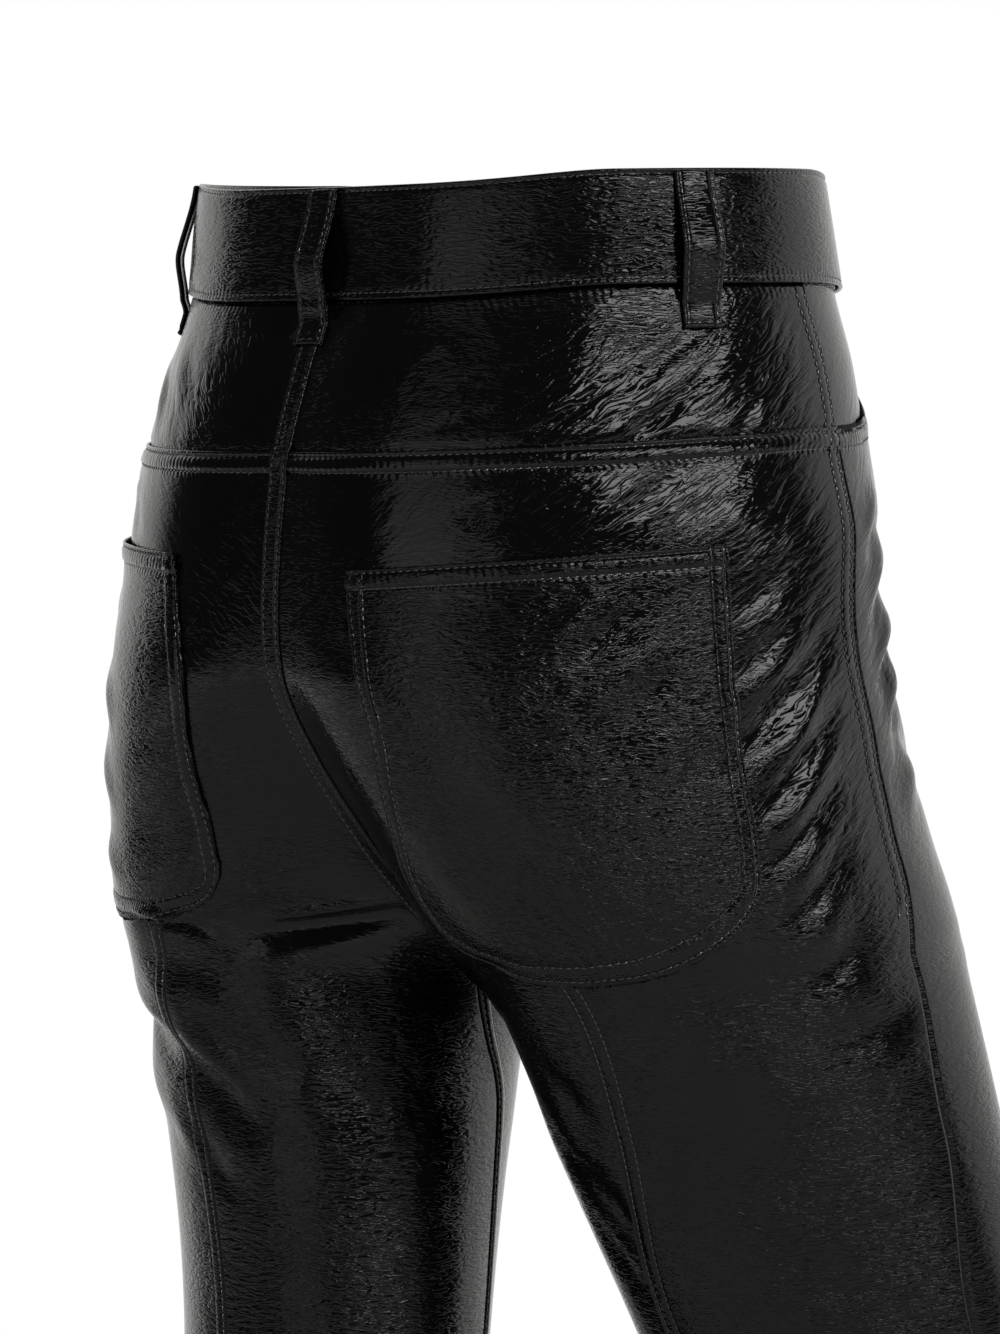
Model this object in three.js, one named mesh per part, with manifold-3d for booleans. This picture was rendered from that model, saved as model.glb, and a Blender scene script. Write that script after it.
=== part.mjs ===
// High-waisted five-pocket trousers in patent vinyl, in the hollow form that they have when worn.
// Millimetres, +Z up. The origin is the middle of the waistband, the front faces -Y and the
// wearer's left is +X. The right thigh is a step ahead of the left one.
import * as THREE from 'three';
import { mergeVertices } from 'three/addons/utils/BufferGeometryUtils.js';
import Module from 'manifold-3d';

const wasm = await Module();
wasm.setup();

const LEFT = 1;
const RIGHT = -1;
const SIDES = [{ side: LEFT, word: 'left' }, { side: RIGHT, word: 'right' }];

const CLOTH = 1.6; // wall of every vinyl panel
const SEAM_GAP = 0.3; // between two panels that are sewn edge to edge
const LAY_GAP = 0.3; // between a panel and what is sewn onto it
const SUNK = 0.6; // how deep such a piece reaches before it is cut back to the lay gap

const BAND_HEIGHT = 44;
const BAND_PROUD = 2.0; // how far the waistband stands out over the yoke
const BAND_WALL = 3.2; // two layers and a stiffener
const BAND_OVERLAP = 26; // degrees of the front that both of its ends cover
const BAND_STEP = 6; // degrees over which the upper end comes down onto the body
const BAND_BACK_DIP = 4.5; // the band sags at the centre back
const BAND_FRONT_DIP = 6;

const YOKE_BACK = -84.5; // height of the yoke seam at the centre back
const YOKE_SIDE = -78; // and at the side seam

const CROTCH = -282;
const CLEFT = 10; // softens the dip where the left and right halves meet
const LEG_PARTING = 0.13; // how fast that softening ends below the crotch
const LEG_GIRTH = 0.62; // one leg's girth, as a share of its half of the seat
const HEM = { [LEFT]: -1040, [RIGHT]: -1012 };

// The front is flatter than an arc above the hips, and turns into one over a height.
const BELLY = { flatness: 0.25, from: -170, over: 70 };

// The outline of one half, as a rounded section at each height. "outer" is how far it reaches to
// the side and "inner" how far it would reach past the middle, so the legs part where inner is
// less than -CLEFT. "depth" is where its middle lies in Y, and "shear" turns its inner side back.
const SECTIONS = [
  { height: 22.5, outer: 138, inner: 138, depth: 15, back: 101, front: 107, shear: 0 },
  { height: -22.5, outer: 143, inner: 143, depth: 15, back: 107, front: 116, shear: 0 },
  { height: -55, outer: 151, inner: 145, depth: 14, back: 121, front: 120, shear: 0 },
  { height: -85, outer: 157, inner: 141, depth: 13, back: 132, front: 118, shear: 0 },
  { height: -122, outer: 165, inner: 125, depth: 12, back: 138, front: 106, shear: 0.02 },
  { height: -165, outer: 165, inner: 81, depth: 12, back: 140, front: 102, shear: 0.03 },
  { height: -202, outer: 166, inner: 38, depth: 10, back: 134, front: 106, shear: 0.04 },
  { height: -229, outer: 168, inner: 18, depth: 10, back: 125, front: 108, shear: 0.06 },
  { height: -252, outer: 168, inner: 4, depth: 10, back: 119, front: 107, shear: 0.09 },
  { height: -272, outer: 167, inner: -5.5, depth: 11, back: 110, front: 104, shear: 0.14 },
  { height: -282, outer: 166, inner: -10, depth: 12, back: 102, front: 100, shear: 0.17 },
  { height: -296, outer: 165.5, inner: -11.5, depth: 12, back: 95, front: 95, shear: 0.21 },
  { height: -330, outer: 164, inner: -9.5, depth: 12, back: 84, front: 85, shear: 0.26 },
  { height: -362, outer: 162, inner: -6, depth: 12, back: 76, front: 78, shear: 0.28 },
  { height: -436, outer: 157, inner: -7, depth: 12, back: 67, front: 68, shear: 0.24 },
  { height: -520, outer: 150, inner: -13, depth: 12, back: 62, front: 63, shear: 0.18 },
  { height: -620, outer: 143, inner: -20, depth: 12, back: 59, front: 61, shear: 0.08 },
  { height: -800, outer: 142, inner: -20, depth: 12, back: 60, front: 61, shear: 0 },
  { height: -1040, outer: 148, inner: -14, depth: 12, back: 67, front: 67, shear: 0 },
];

// Where the seams run, in degrees round one half: 0 is outward, 90 back and -90 front. "turn"
// is how far the legs' seams have swung round with the leg.
const SEAMS = [
  { height: 22.5, side: -8, dart: 78, inseam: 180, turnLeft: 0, turnRight: 0 },
  { height: -60, side: -12, dart: 79, inseam: 180, turnLeft: 0, turnRight: 0 },
  { height: -110, side: -10, dart: 80, inseam: 180, turnLeft: 0, turnRight: 0 },
  { height: -145, side: -8.5, dart: 81, inseam: 180, turnLeft: 0, turnRight: 0 },
  { height: -200, side: -13.5, dart: 83, inseam: 180, turnLeft: 0, turnRight: 0 },
  { height: -245, side: -14.5, dart: 86, inseam: 180, turnLeft: 0, turnRight: 0 },
  { height: -285, side: -7, dart: 86.5, inseam: 180, turnLeft: 2, turnRight: 0 },
  { height: -350, side: 0, dart: 91, inseam: 208, turnLeft: 0, turnRight: 5 },
  { height: -430, side: 0, dart: 95.5, inseam: 213, turnLeft: 0, turnRight: 15.5 },
  { height: -620, side: 0, dart: 96, inseam: 205, turnLeft: 0, turnRight: 12 },
  { height: -1040, side: 0, dart: 96, inseam: 198, turnLeft: 0, turnRight: 8 },
];

// The hollow down the small of the back: how far it goes in at the middle plane.
const SPINE = [
  { height: 22.5, hollow: 5.2 }, { height: -22, hollow: 6.4 }, { height: -60, hollow: 7 },
  { height: -113, hollow: 6.2 }, { height: -150, hollow: 4.6 }, { height: -178, hollow: 3 },
  { height: -200, hollow: 0.8 }, { height: -222, hollow: 0 },
];
const SPINE_WIDTH = 30; // how far from the middle it fades

// How each leg hangs from the seat: its slope forward and outward from "from" down to "knee".
const STANCE = {
  [LEFT]: { forward: -0.105, out: 0, from: -190, knee: -2600 },
  [RIGHT]: { forward: 0.36, out: 0.11, from: -235, knee: -620 },
};
const BEND = { hip: 12, knee: 40 }; // how gently the slope sets in, and ends
const FREE_REACH = 60; // the cloth moves with a leg fully this far from the middle
const TURN_OVER = 60; // the inseam takes up its leg's turn over this height

// The largest folds, as long soft swellings (rise above 0) and troughs (below 0). "tilt" turns
// the fold's length up from the level, toward the back.
const FOLDS = [
  { side: LEFT, angle: 112, height: -270, along: 46, across: 8, tilt: 4, rise: -5 },
  { side: LEFT, angle: 88, height: -297, along: 60, across: 15, tilt: -14, rise: 4 },
  { side: LEFT, angle: 52, height: -345, along: 60, across: 62, tilt: 0, rise: 5.5 },
  { side: LEFT, angle: 78, height: -322, along: 40, across: 9, tilt: -24, rise: -3 },
  { side: LEFT, angle: -40, height: -138, along: 34, across: 9, tilt: 24, rise: -2.6 },
  { side: LEFT, angle: -44, height: -186, along: 36, across: 9, tilt: 30, rise: -3 },
  { side: LEFT, angle: -76, height: -236, along: 40, across: 10, tilt: 36, rise: -3.2 },
  { side: RIGHT, angle: -38, height: -125, along: 32, across: 8, tilt: 22, rise: -2.4 },
  { side: RIGHT, angle: -42, height: -152, along: 36, across: 8, tilt: 26, rise: -2.8 },
  { side: RIGHT, angle: -44, height: -214, along: 40, across: 9, tilt: 30, rise: -3 },
  { side: RIGHT, angle: -80, height: -244, along: 44, across: 10, tilt: 34, rise: -4 },
  { side: RIGHT, angle: 12, height: -182, along: 34, across: 9, tilt: -38, rise: -2.2 },
  { side: RIGHT, angle: 96, height: -628, along: 44, across: 15, tilt: 8, rise: -3.5 },
  { side: LEFT, angle: 92, height: -604, along: 40, across: 15, tilt: -6, rise: -2.5 },
];

// The patch pockets' inner and outer edges, in degrees. "slope" is how much lower the mouth's
// inner end hangs. The left pocket's bottom is pushed up by the fold under the seat.
const POCKETS = {
  [RIGHT]: {
    slope: 8.5,
    edges: [
      { height: -120, inner: 80, outer: 20 },
      { height: -170, inner: 86.5, outer: 19.5 },
      { height: -198, inner: 94, outer: 20 },
      { height: -224, inner: 104, outer: 21.3 },
      { height: -250, inner: 115, outer: 24.5 },
      { height: -263, inner: 117, outer: 31.5 },
      { height: -272, inner: 115.5, outer: 40 },
      { height: -279, inner: 108, outer: 50 },
      { height: -284, inner: 99, outer: 62 },
      { height: -286.5, inner: 90, outer: 76 },
    ],
  },
  [LEFT]: {
    slope: 5.5,
    edges: [
      { height: -118, inner: 76.5, outer: 20 },
      { height: -138, inner: 81.6, outer: 19.7 },
      { height: -162, inner: 89, outer: 19.5 },
      { height: -192, inner: 96.8, outer: 20 },
      { height: -217, inner: 103.7, outer: 21.6 },
      { height: -237, inner: 109, outer: 25 },
      { height: -249.5, inner: 111.5, outer: 31.5 },
      { height: -257.5, inner: 110.5, outer: 39 },
      { height: -263, inner: 106, outer: 48 },
      { height: -267, inner: 97, outer: 59 },
      { height: -269.5, inner: 87, outer: 72 },
    ],
  },
};
const DART_TOP = -240; // the long dart seam of the back leg ends here, under the pocket

const SCOOP = { reach: 46, drop: 56, roundness: 2.5 }; // the front pocket's mouth, in degrees and mm
const HIP_LIFT = -CLOTH - LAY_GAP; // the hip piece lies one layer down
const HIP_UNDERLAP = 14; // and runs on this far under the front panel
const HIP_TAIL = 14; // degrees that its lowest corner reaches ahead of the side seam
const PANEL_EASE = { back: 50, front: 40 }; // height over which a panel takes up its top edge

// "sewnBelow" is where a loop's lower sewn end starts, "easeIn" and "easeOut" are the heights over
// which it bows away from the band and comes back, and "step" the band's edge under it.
const LOOP = {
  width: 15.5, thick: 2.2, top: 21, below: -39, sewnBelow: -31, easeIn: 27, easeOut: 20, step: 6,
};
const LOOPS = [
  { word: 'centre_back', side: LEFT, angle: null, standoff: 6.4 },
  { word: 'back_right', side: RIGHT, angle: 18, standoff: 6.4 },
  { word: 'back_left', side: LEFT, angle: 33, standoff: 6.4 },
  { word: 'front_right', side: RIGHT, angle: -64, standoff: 5 },
  { word: 'front_left', side: LEFT, angle: -64, standoff: 5 },
];
const FLY = { width: 36, length: 150, wall: 1.4, topAngle: -86, corner: 6 };
const BUTTON = { radius: 8.5, thick: 3.4, dome: 1.1, angle: -85.5 };

const radians = THREE.MathUtils.degToRad;
const mix = THREE.MathUtils.lerp;
const smooth = (x) => THREE.MathUtils.smoothstep(x, 0, 1);
const softRamp = (x, softness) => softness * Math.log1p(Math.exp(Math.min(x / softness, 500)));

// Values between the rows of a table, on a monotone cubic, so that nothing overshoots.
function between(table, column) {
  const rows = [...table].sort((a, b) => a.height - b.height);
  const x = rows.map((row) => row.height);
  const y = rows.map((row) => row[column]);
  const step = x.slice(1).map((value, i) => value - x[i]);
  const slope = step.map((value, i) => (y[i + 1] - y[i]) / value);
  const tangent = x.map((_, i) => {
    if (i === 0) return slope[0];
    if (i === x.length - 1) return slope[i - 1];
    if (slope[i - 1] * slope[i] <= 0) return 0;
    const a = 2 * step[i] + step[i - 1];
    const b = step[i] + 2 * step[i - 1];
    return (a + b) / (a / slope[i - 1] + b / slope[i]);
  });
  return (height) => {
    const at = THREE.MathUtils.clamp(height, x[0], x[x.length - 1]);
    let i = 0;
    while (i < x.length - 2 && at > x[i + 1]) i += 1;
    const t = (at - x[i]) / step[i];
    const rise = (1 + 2 * t) * (1 - t) ** 2 * y[i] + t * t * (3 - 2 * t) * y[i + 1];
    return rise + step[i] * (t * (1 - t) ** 2 * tangent[i] + t * t * (t - 1) * tangent[i + 1]);
  };
}

const section = {};
for (const column of ['outer', 'inner', 'depth', 'back', 'front', 'shear']) {
  section[column] = between(SECTIONS, column);
}
const seam = {};
for (const column of ['side', 'dart', 'inseam', 'turnLeft', 'turnRight']) {
  seam[column] = between(SEAMS, column);
}
const spineHollow = between(SPINE, 'hollow');

const cleft = (height) => Math.max(0, CLEFT - LEG_PARTING * Math.max(0, CROTCH - height));

// The angle at which one half reaches the middle plane, or stops a little short of it.
function centreAngle(height, short = 0) {
  const outer = section.outer(height);
  const inner = section.inner(height);
  const cosine = (Math.hypot(CLEFT, short) - (outer - inner) / 2) / ((outer + inner) / 2);
  return THREE.MathUtils.radToDeg(Math.acos(THREE.MathUtils.clamp(cosine, -1, 1)));
}

// The legs' seams turn with the leg, from the crotch down.
function turn(side, height) {
  return side === LEFT ? seam.turnLeft(height) : seam.turnRight(height);
}
function sideSeam(side, height) {
  return seam.side(height) + turn(side, height);
}
function dartSeam(side, height) {
  return seam.dart(height) + turn(side, height);
}
function inseam(side, height) {
  return seam.inseam(height) + turn(side, height) * smooth((CROTCH - height) / TURN_OVER);
}

// A point of the smooth form, before its folds.
function formPoint(side, angle, height) {
  const outer = section.outer(height);
  const inner = section.inner(height);
  const half = (outer + inner) / 2;
  const a = radians(angle);
  const flatness = mix(BELLY.flatness, 1, smooth((BELLY.from - height) / BELLY.over));
  const frontSine = Math.sin(Math.PI / 2 + Math.max(0, Math.abs(a) - Math.PI / 2) * flatness);
  const sine = a < -Math.PI / 2 && a > -Math.PI ? -frontSine : Math.sin(a);
  const reach = (outer - inner) / 2 + half * Math.cos(a);
  const fromMiddle = Math.sqrt(Math.max(reach * reach - cleft(height) ** 2, 0));
  const bulge = sine > 0 ? section.back(height) : section.front(height);
  const spine = sine > 0 ? spineHollow(height) * Math.exp(-((fromMiddle / SPINE_WIDTH) ** 2)) : 0;
  const turned = section.shear(height) * half * Math.cos(a);
  const y = section.depth(height) + bulge * sine - spine * sine - turned;

  const stance = STANCE[side];
  const fall = softRamp(stance.from - height, BEND.hip) - softRamp(stance.knee - height, BEND.knee);
  const freedom = smooth((fromMiddle + Math.max(0, CROTCH - height)) / FREE_REACH);
  return new THREE.Vector3(
    side * (fromMiddle + stance.out * fall * freedom),
    y - stance.forward * fall * freedom,
    height,
  );
}

// How far the folds lift the cloth off the smooth form.
function foldRise(side, angle, height) {
  let rise = 0;
  for (const fold of FOLDS) {
    if (fold.side !== side) continue;
    const girth = radians(1) * (section.back(fold.height) + section.outer(fold.height)) / 2;
    const across = height - fold.height;
    const along = (angle - fold.angle) * girth * (fold.height > CROTCH ? 1 : LEG_GIRTH);
    const tilt = radians(fold.tilt);
    const u = (along * Math.cos(tilt) + across * Math.sin(tilt)) / fold.along;
    const v = (across * Math.cos(tilt) - along * Math.sin(tilt)) / fold.across;
    rise += fold.rise * Math.exp(-u * u - v * v);
  }
  return rise;
}

// A point of the cloth, moved out by "lift" from its outer face.
function clothPoint(side, angle, height, lift) {
  const limit = height > CROTCH ? centreAngle(height) : Infinity;
  const nudge = 0.02;
  const a0 = Math.max(-limit, angle - nudge);
  const a1 = Math.min(limit, angle + nudge);
  const across = formPoint(side, a1, height).sub(formPoint(side, a0, height));
  const upward = formPoint(side, angle, height + 0.05).sub(formPoint(side, angle, height - 0.05));
  const normal = across.cross(upward).multiplyScalar(side).normalize();
  const rise = lift + foldRise(side, angle, height);
  return formPoint(side, angle, height).addScaledVector(normal, rise);
}

// Degrees that a distance round the cloth takes up at one place.
function degreesFor(side, angle, height, distance) {
  const chord = formPoint(side, angle + 0.5, height).distanceTo(formPoint(side, angle - 0.5, height));
  return distance / chord;
}

// A closed wall over a net of quads. Each node of the net says where it is, and "place" puts it
// at a lift; the free edges of the net become the wall's edges.
function wall(net, place, outerLift, innerLift) {
  const count = net.nodes.length;
  const position = [];
  for (const lift of [outerLift, innerLift]) {
    for (const node of net.nodes) position.push(...place(node, lift).toArray());
  }
  const index = [];
  const edges = new Map();
  for (const [a, b, c, d] of net.quads) {
    index.push(a, b, c, a, c, d);
    index.push(a + count, c + count, b + count, a + count, d + count, c + count);
    for (const [from, to] of [[a, b], [b, c], [c, d], [d, a]]) {
      if (edges.has(`${to},${from}`)) edges.delete(`${to},${from}`);
      else edges.set(`${from},${to}`, [from, to]);
    }
  }
  // The edge strips of two neighbours split along the same diagonal, so their gap stays even.
  for (const [from, to] of edges.values()) {
    const rising = net.nodes[from].height < net.nodes[to].height;
    if (rising) index.push(from, from + count, to + count, from, to + count, to);
    else index.push(from, from + count, to, to, from + count, to + count);
  }
  const geometry = new THREE.BufferGeometry();
  geometry.setAttribute('position', new THREE.Float32BufferAttribute(position, 3));
  geometry.setIndex(index);
  return geometry;
}

// What is sewn onto other pieces is cut back to lie on their own facets, at the lay gap.
function solidOf(geometry) {
  const merged = mergeVertices(geometry, 1e-4);
  const vertProperties = new Float32Array(merged.attributes.position.array);
  const triVerts = new Uint32Array(merged.index.array);
  return new wasm.Manifold(new wasm.Mesh({ numProp: 3, vertProperties, triVerts }));
}
function laidOn(geometry, carriers) {
  let piece = solidOf(geometry);
  for (const carrier of carriers) piece = piece.subtract(solidOf(carrier));
  const whole = piece.decompose().sort((a, b) => b.volume() - a.volume())[0];
  const mesh = whole.getMesh();
  const laid = new THREE.BufferGeometry();
  laid.setAttribute('position', new THREE.Float32BufferAttribute(mesh.vertProperties, 3));
  laid.setIndex([...mesh.triVerts]);
  return laid;
}

// A net of rows and columns. "at" gives the node for a row and a column; a column in "slit" is
// doubled from the row where the slit starts, and its two copies differ by a gap.
function gridNet(rows, columns, at, slit = null) {
  const nodes = [];
  const id = [];
  for (let r = 0; r < rows; r += 1) {
    id.push([]);
    for (let c = 0; c < columns; c += 1) {
      const open = slit !== null && c === slit.column && r > slit.row;
      id[r].push([nodes.length, nodes.length + (open ? 1 : 0)]);
      nodes.push(at(r, c, open ? -1 : 0));
      if (open) nodes.push(at(r, c, 1));
    }
  }
  const quads = [];
  for (let r = 0; r + 1 < rows; r += 1) {
    for (let c = 0; c + 1 < columns; c += 1) {
      quads.push([id[r][c][1], id[r + 1][c][1], id[r + 1][c + 1][0], id[r][c + 1][0]]);
    }
  }
  return { nodes, quads };
}

// The wearer's right half is a mirror image, so its quads are turned over.
function facing(side, net) {
  if (side === LEFT) return net;
  return { nodes: net.nodes, quads: net.quads.map((quad) => [...quad].reverse()) };
}

// The heights of a panel's rows: close together over the seat, wide apart down the leg.
const ROW_STEPS = [
  { down: -252, step: 12.5 },
  { down: -302, step: 8 },
  { down: -338, step: 18 },
  { down: -436, step: 25 },
  { down: -572, step: 68 },
  { down: -660, step: 29 },
  { down: -1100, step: 130 },
];
function rowHeights(top, bottom, steps) {
  const heights = [top];
  let height = top;
  for (const { down, step } of steps) {
    const goal = Math.max(down, bottom);
    const count = Math.max(1, Math.round((height - goal) / step));
    const from = height;
    if (from - goal < 1e-6) continue;
    for (let i = 1; i <= count; i += 1) heights.push(mix(from, goal, i / count));
    height = goal;
  }
  return heights;
}

function bandDip(angle) {
  const around = Math.sin(radians(angle));
  const back = BAND_BACK_DIP * smooth((around - 0.55) / 0.45);
  const front = BAND_FRONT_DIP * smooth((-around - 0.3) / 0.7);
  return -back - front;
}
function bandBottom(angle) {
  return -BAND_HEIGHT / 2 + bandDip(angle);
}
function yokeHeight(angle) {
  return mix(YOKE_SIDE, YOKE_BACK, Math.max(0, Math.sin(radians(angle))));
}

// A piece's own form, moved out by the lay gap and thickened inward, to cut what lies on it.
function underlay(net, place, outerLift) {
  return wall(net, place, outerLift + LAY_GAP, outerLift - 3 * CLOTH);
}

const halfSeam = SEAM_GAP / 2;
const onCloth = (node, lift) => clothPoint(node.side, node.angle, node.height, lift);

// The edge of a back or front panel on its inner side: the middle plane, and then the inseam.
function innerEdge(side, height, direction, inset = halfSeam) {
  if (height > CROTCH) return direction * centreAngle(height, inset);
  const angle = inseam(side, height);
  const gap = degreesFor(side, angle, height, inset);
  return direction > 0 ? angle - gap : angle - 360 + gap;
}
function sideEdge(side, height, direction, inset = halfSeam) {
  const angle = sideSeam(side, height);
  return angle + direction * degreesFor(side, angle, height, inset);
}

// The yoke and the back leg share their columns: some on each side of the dart seam's line.
const OUTER_COLUMNS = 7;
const BACK_COLUMNS = 15;
function backColumn(side, c, height, inset) {
  const seamAngle = dartSeam(side, height);
  if (c <= OUTER_COLUMNS) return mix(sideEdge(side, height, 1, inset), seamAngle, c / OUTER_COLUMNS);
  const share = (c - OUTER_COLUMNS) / (BACK_COLUMNS - 1 - OUTER_COLUMNS);
  return mix(seamAngle, innerEdge(side, height, 1, inset), share);
}

// One back leg, from the yoke to the hem, with its long dart seam. An inset of 0 closes its gaps.
function backLegNet(side, inset = halfSeam) {
  const top = YOKE_BACK;
  const heights = rowHeights(top, HEM[side], ROW_STEPS);
  const slitRow = heights.findIndex((height) => height < DART_TOP);
  const at = (r, c, slitSide) => {
    let angle = backColumn(side, c, heights[r], inset);
    angle += slitSide * degreesFor(side, angle, heights[r], halfSeam);
    const toYoke = yokeHeight(angle) - inset - top;
    const height = heights[r] + toYoke * (1 - smooth((top - heights[r]) / PANEL_EASE.back));
    if (c === BACK_COLUMNS - 1) angle = innerEdge(side, height, 1, inset);
    return { side, angle, height };
  };
  const slit = inset > 0 ? { column: OUTER_COLUMNS, row: slitRow } : null;
  return facing(side, gridNet(heights.length, BACK_COLUMNS, at, slit));
}

// One half of the back yoke, from the side seam to the centre back.
function yokeNet(side, inset = halfSeam) {
  const rows = 6;
  const at = (r, c) => {
    const down = r / (rows - 1);
    const level = mix(-BAND_HEIGHT / 2, YOKE_BACK, down);
    const angle = backColumn(side, c, level, inset);
    const upper = bandBottom(angle) - 3 * inset;
    const lower = yokeHeight(angle) + inset;
    const height = mix(upper, lower, down);
    const edge = c === BACK_COLUMNS - 1 ? innerEdge(side, height, 1, inset) : angle;
    return { side, angle: edge, height };
  };
  return facing(side, gridNet(rows, BACK_COLUMNS, at));
}

// The scooped mouth of the front pocket: from the waistband down and round to the side seam.
// "raised" lifts the whole edge.
function scoop(side, turned, raised) {
  const power = 2 / SCOOP.roundness;
  const seamAngle = sideSeam(side, YOKE_SIDE);
  const forward = SCOOP.reach * Math.sin(turned) ** power;
  const up = SCOOP.drop * (1 - Math.cos(turned) ** power);
  return { angle: seamAngle - forward, height: YOKE_SIDE + up + raised };
}

// One front leg. Its outer edge follows the pocket mouth, and then the side seam.
function frontLegNet(side, inset = halfSeam) {
  const mouthRows = 7;
  const columns = 13;
  const mouth = [];
  for (let i = mouthRows; i >= 0; i -= 1) {
    mouth.push(scoop(side, (Math.PI / 2) * (i / mouthRows), halfSeam - inset));
  }
  const lower = rowHeights(YOKE_SIDE, HEM[side], ROW_STEPS).slice(1);
  const levels = [...mouth, ...lower.map((height) => ({ angle: null, height }))];
  const at = (r, c) => {
    const { angle: mouthAngle, height: level } = levels[r];
    const outer = mouthAngle === null ? sideEdge(side, level, -1, inset) : mouthAngle;
    const inner = innerEdge(side, level, -1, inset);
    const angle = mix(inner, outer, c / (columns - 1));
    const top = levels[0].height;
    const blend = 1 - smooth((top - level) / PANEL_EASE.front);
    const height = level + (bandBottom(angle) - 2 * inset - top) * blend;
    const edge = c === 0 ? innerEdge(side, height, -1, inset) : angle;
    return { side, angle: edge, height };
  };
  return facing(side, gridNet(levels.length, columns, at));
}

// The hip piece that shows inside the front pocket's mouth, one layer down.
function hipNet(side) {
  const rows = 7;
  const columns = 6;
  const lowest = YOKE_SIDE - HIP_UNDERLAP;
  const farthest = sideSeam(side, YOKE_SIDE) - SCOOP.reach - HIP_UNDERLAP / 2;
  const at = (r, c) => {
    const down = r / (rows - 1);
    const level = mix(-BAND_HEIGHT / 2, lowest, down);
    const back = sideEdge(side, level, -1) - SEAM_GAP;
    const front = mix(farthest, back - HIP_TAIL, down ** 3);
    const angle = mix(front, back, c / (columns - 1));
    return { side, angle, height: mix(bandBottom(angle) - SEAM_GAP, lowest, down) };
  };
  return facing(side, gridNet(rows, columns, at));
}

function hipPiece(side) {
  const overlays = [halfSeam, -halfSeam].map((inset) => (
    wall(frontLegNet(side, inset), onCloth, CLOTH, HIP_LIFT)
  ));
  return laidOn(wall(hipNet(side), onCloth, HIP_LIFT, HIP_LIFT - CLOTH), overlays);
}

// One back pocket, on the back panel.
function backPocket(side) {
  const rows = 13;
  const columns = 9;
  const { slope, edges } = POCKETS[side];
  const outer = between(edges, 'outer');
  const inner = between(edges, 'inner');
  const top = edges[0].height;
  const bottom = edges[edges.length - 1].height;
  const at = (r, c) => {
    const down = Math.sin((Math.PI / 2) * (r / (rows - 1)));
    const level = mix(top, bottom, down);
    const across = c / (columns - 1);
    const angle = mix(outer(level), inner(level), across);
    return { side, angle, height: level - slope * across * (1 - down) };
  };
  const pocket = wall(facing(side, gridNet(rows, columns, at)), onCloth, LAY_GAP + CLOTH, -SUNK);
  return laidOn(pocket, [underlay(backLegNet(side, 0), onCloth, 0)]);
}

// The waistband goes once round and its left end laps over the right one at the front.
function bandNet() {
  const rows = 3;
  const columns = 57;
  const start = -BAND_OVERLAP / 2;
  const goRound = 360 + BAND_OVERLAP;
  const at = (r, c) => {
    const around = start + goRound * (c / (columns - 1));
    return { around, row: r / (rows - 1), end: c / (columns - 1) };
  };
  const place = ({ around, row, end }, lift) => {
    const turned = ((around % 360) + 360) % 360;
    const side = turned < 180 ? LEFT : RIGHT;
    const share = turned < 180 ? turned / 180 : (360 - turned) / 180;
    const level = mix(BAND_HEIGHT / 2, -BAND_HEIGHT / 2, row);
    const limit = centreAngle(level);
    const angle = mix(-limit, limit, share);
    const steps = (BAND_WALL + LAY_GAP) * (1 - smooth((end * goRound - BAND_OVERLAP) / BAND_STEP));
    const height = level + bandDip(angle);
    return clothPoint(side, angle, height, lift + steps);
  };
  return { net: gridNet(rows, columns, at), place };
}

// What the belt loops lie on, on one side.
function underLoops(side) {
  const { net, place } = bandNet();
  return [
    underlay(net, place, BAND_PROUD),
    underlay(yokeNet(side, 0), onCloth, 0),
    underlay(frontLegNet(side, 0), onCloth, 0),
    underlay(hipNet(side), onCloth, HIP_LIFT),
  ];
}

// One belt loop: sewn at the band's top and on the yoke, and bowed clear of the band between.
// The centre back one has no angle of its own and lies astride the middle plane.
function beltLoop({ side, angle, standoff }) {
  const rows = 14;
  const { sewnBelow, easeIn, easeOut, step } = LOOP;
  const at = (r, c) => ({ row: r / (rows - 1), across: (c / 2 - 0.5) * LOOP.width });
  const place = ({ row, across }, lift) => {
    const level = mix(LOOP.top, LOOP.below, row);
    const bow = smooth((LOOP.top - level) / easeIn) * smooth((level - sewnBelow) / easeOut);
    const onBand = BAND_PROUD * smooth((level - sewnBelow) / step);
    const thickness = lift > 0 ? lift : lift * (1 - bow);
    const rise = LAY_GAP + onBand + bow * standoff + thickness;
    if (angle === null) {
      const height = level - BAND_BACK_DIP;
      const half = across < 0 ? RIGHT : LEFT;
      return clothPoint(half, centreAngle(height, Math.abs(across)), height, rise);
    }
    const height = level + bandDip(angle);
    return clothPoint(side, angle + degreesFor(side, angle, height, across), height, rise);
  };
  const net = facing(angle === null ? RIGHT : side, gridNet(rows, 3, at));
  const loop = wall(net, place, LOOP.thick, -LAY_GAP - SUNK);
  return laidOn(loop, [...underLoops(side), ...(angle === null ? underLoops(-side) : [])]);
}

// The fly's flap on the left front, with a rounded lower corner.
function flyFlap() {
  const rows = 12;
  const columns = 4;
  const top = bandBottom(FLY.topAngle) - SEAM_GAP;
  const at = (r, c) => {
    const down = Math.sin((Math.PI / 2) * (r / (rows - 1)));
    const height = top - FLY.length * down;
    const wide = FLY.width * Math.sqrt(Math.max(0.01, 1 - down ** FLY.corner));
    const middle = innerEdge(LEFT, height, -1);
    const across = degreesFor(LEFT, -80, height, wide * (c / (columns - 1)));
    return { side: LEFT, angle: middle + across, height };
  };
  const flap = wall(gridNet(rows, columns, at), onCloth, LAY_GAP + FLY.wall, -SUNK);
  return laidOn(flap, [underlay(frontLegNet(LEFT, 0), onCloth, 0)]);
}

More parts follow.
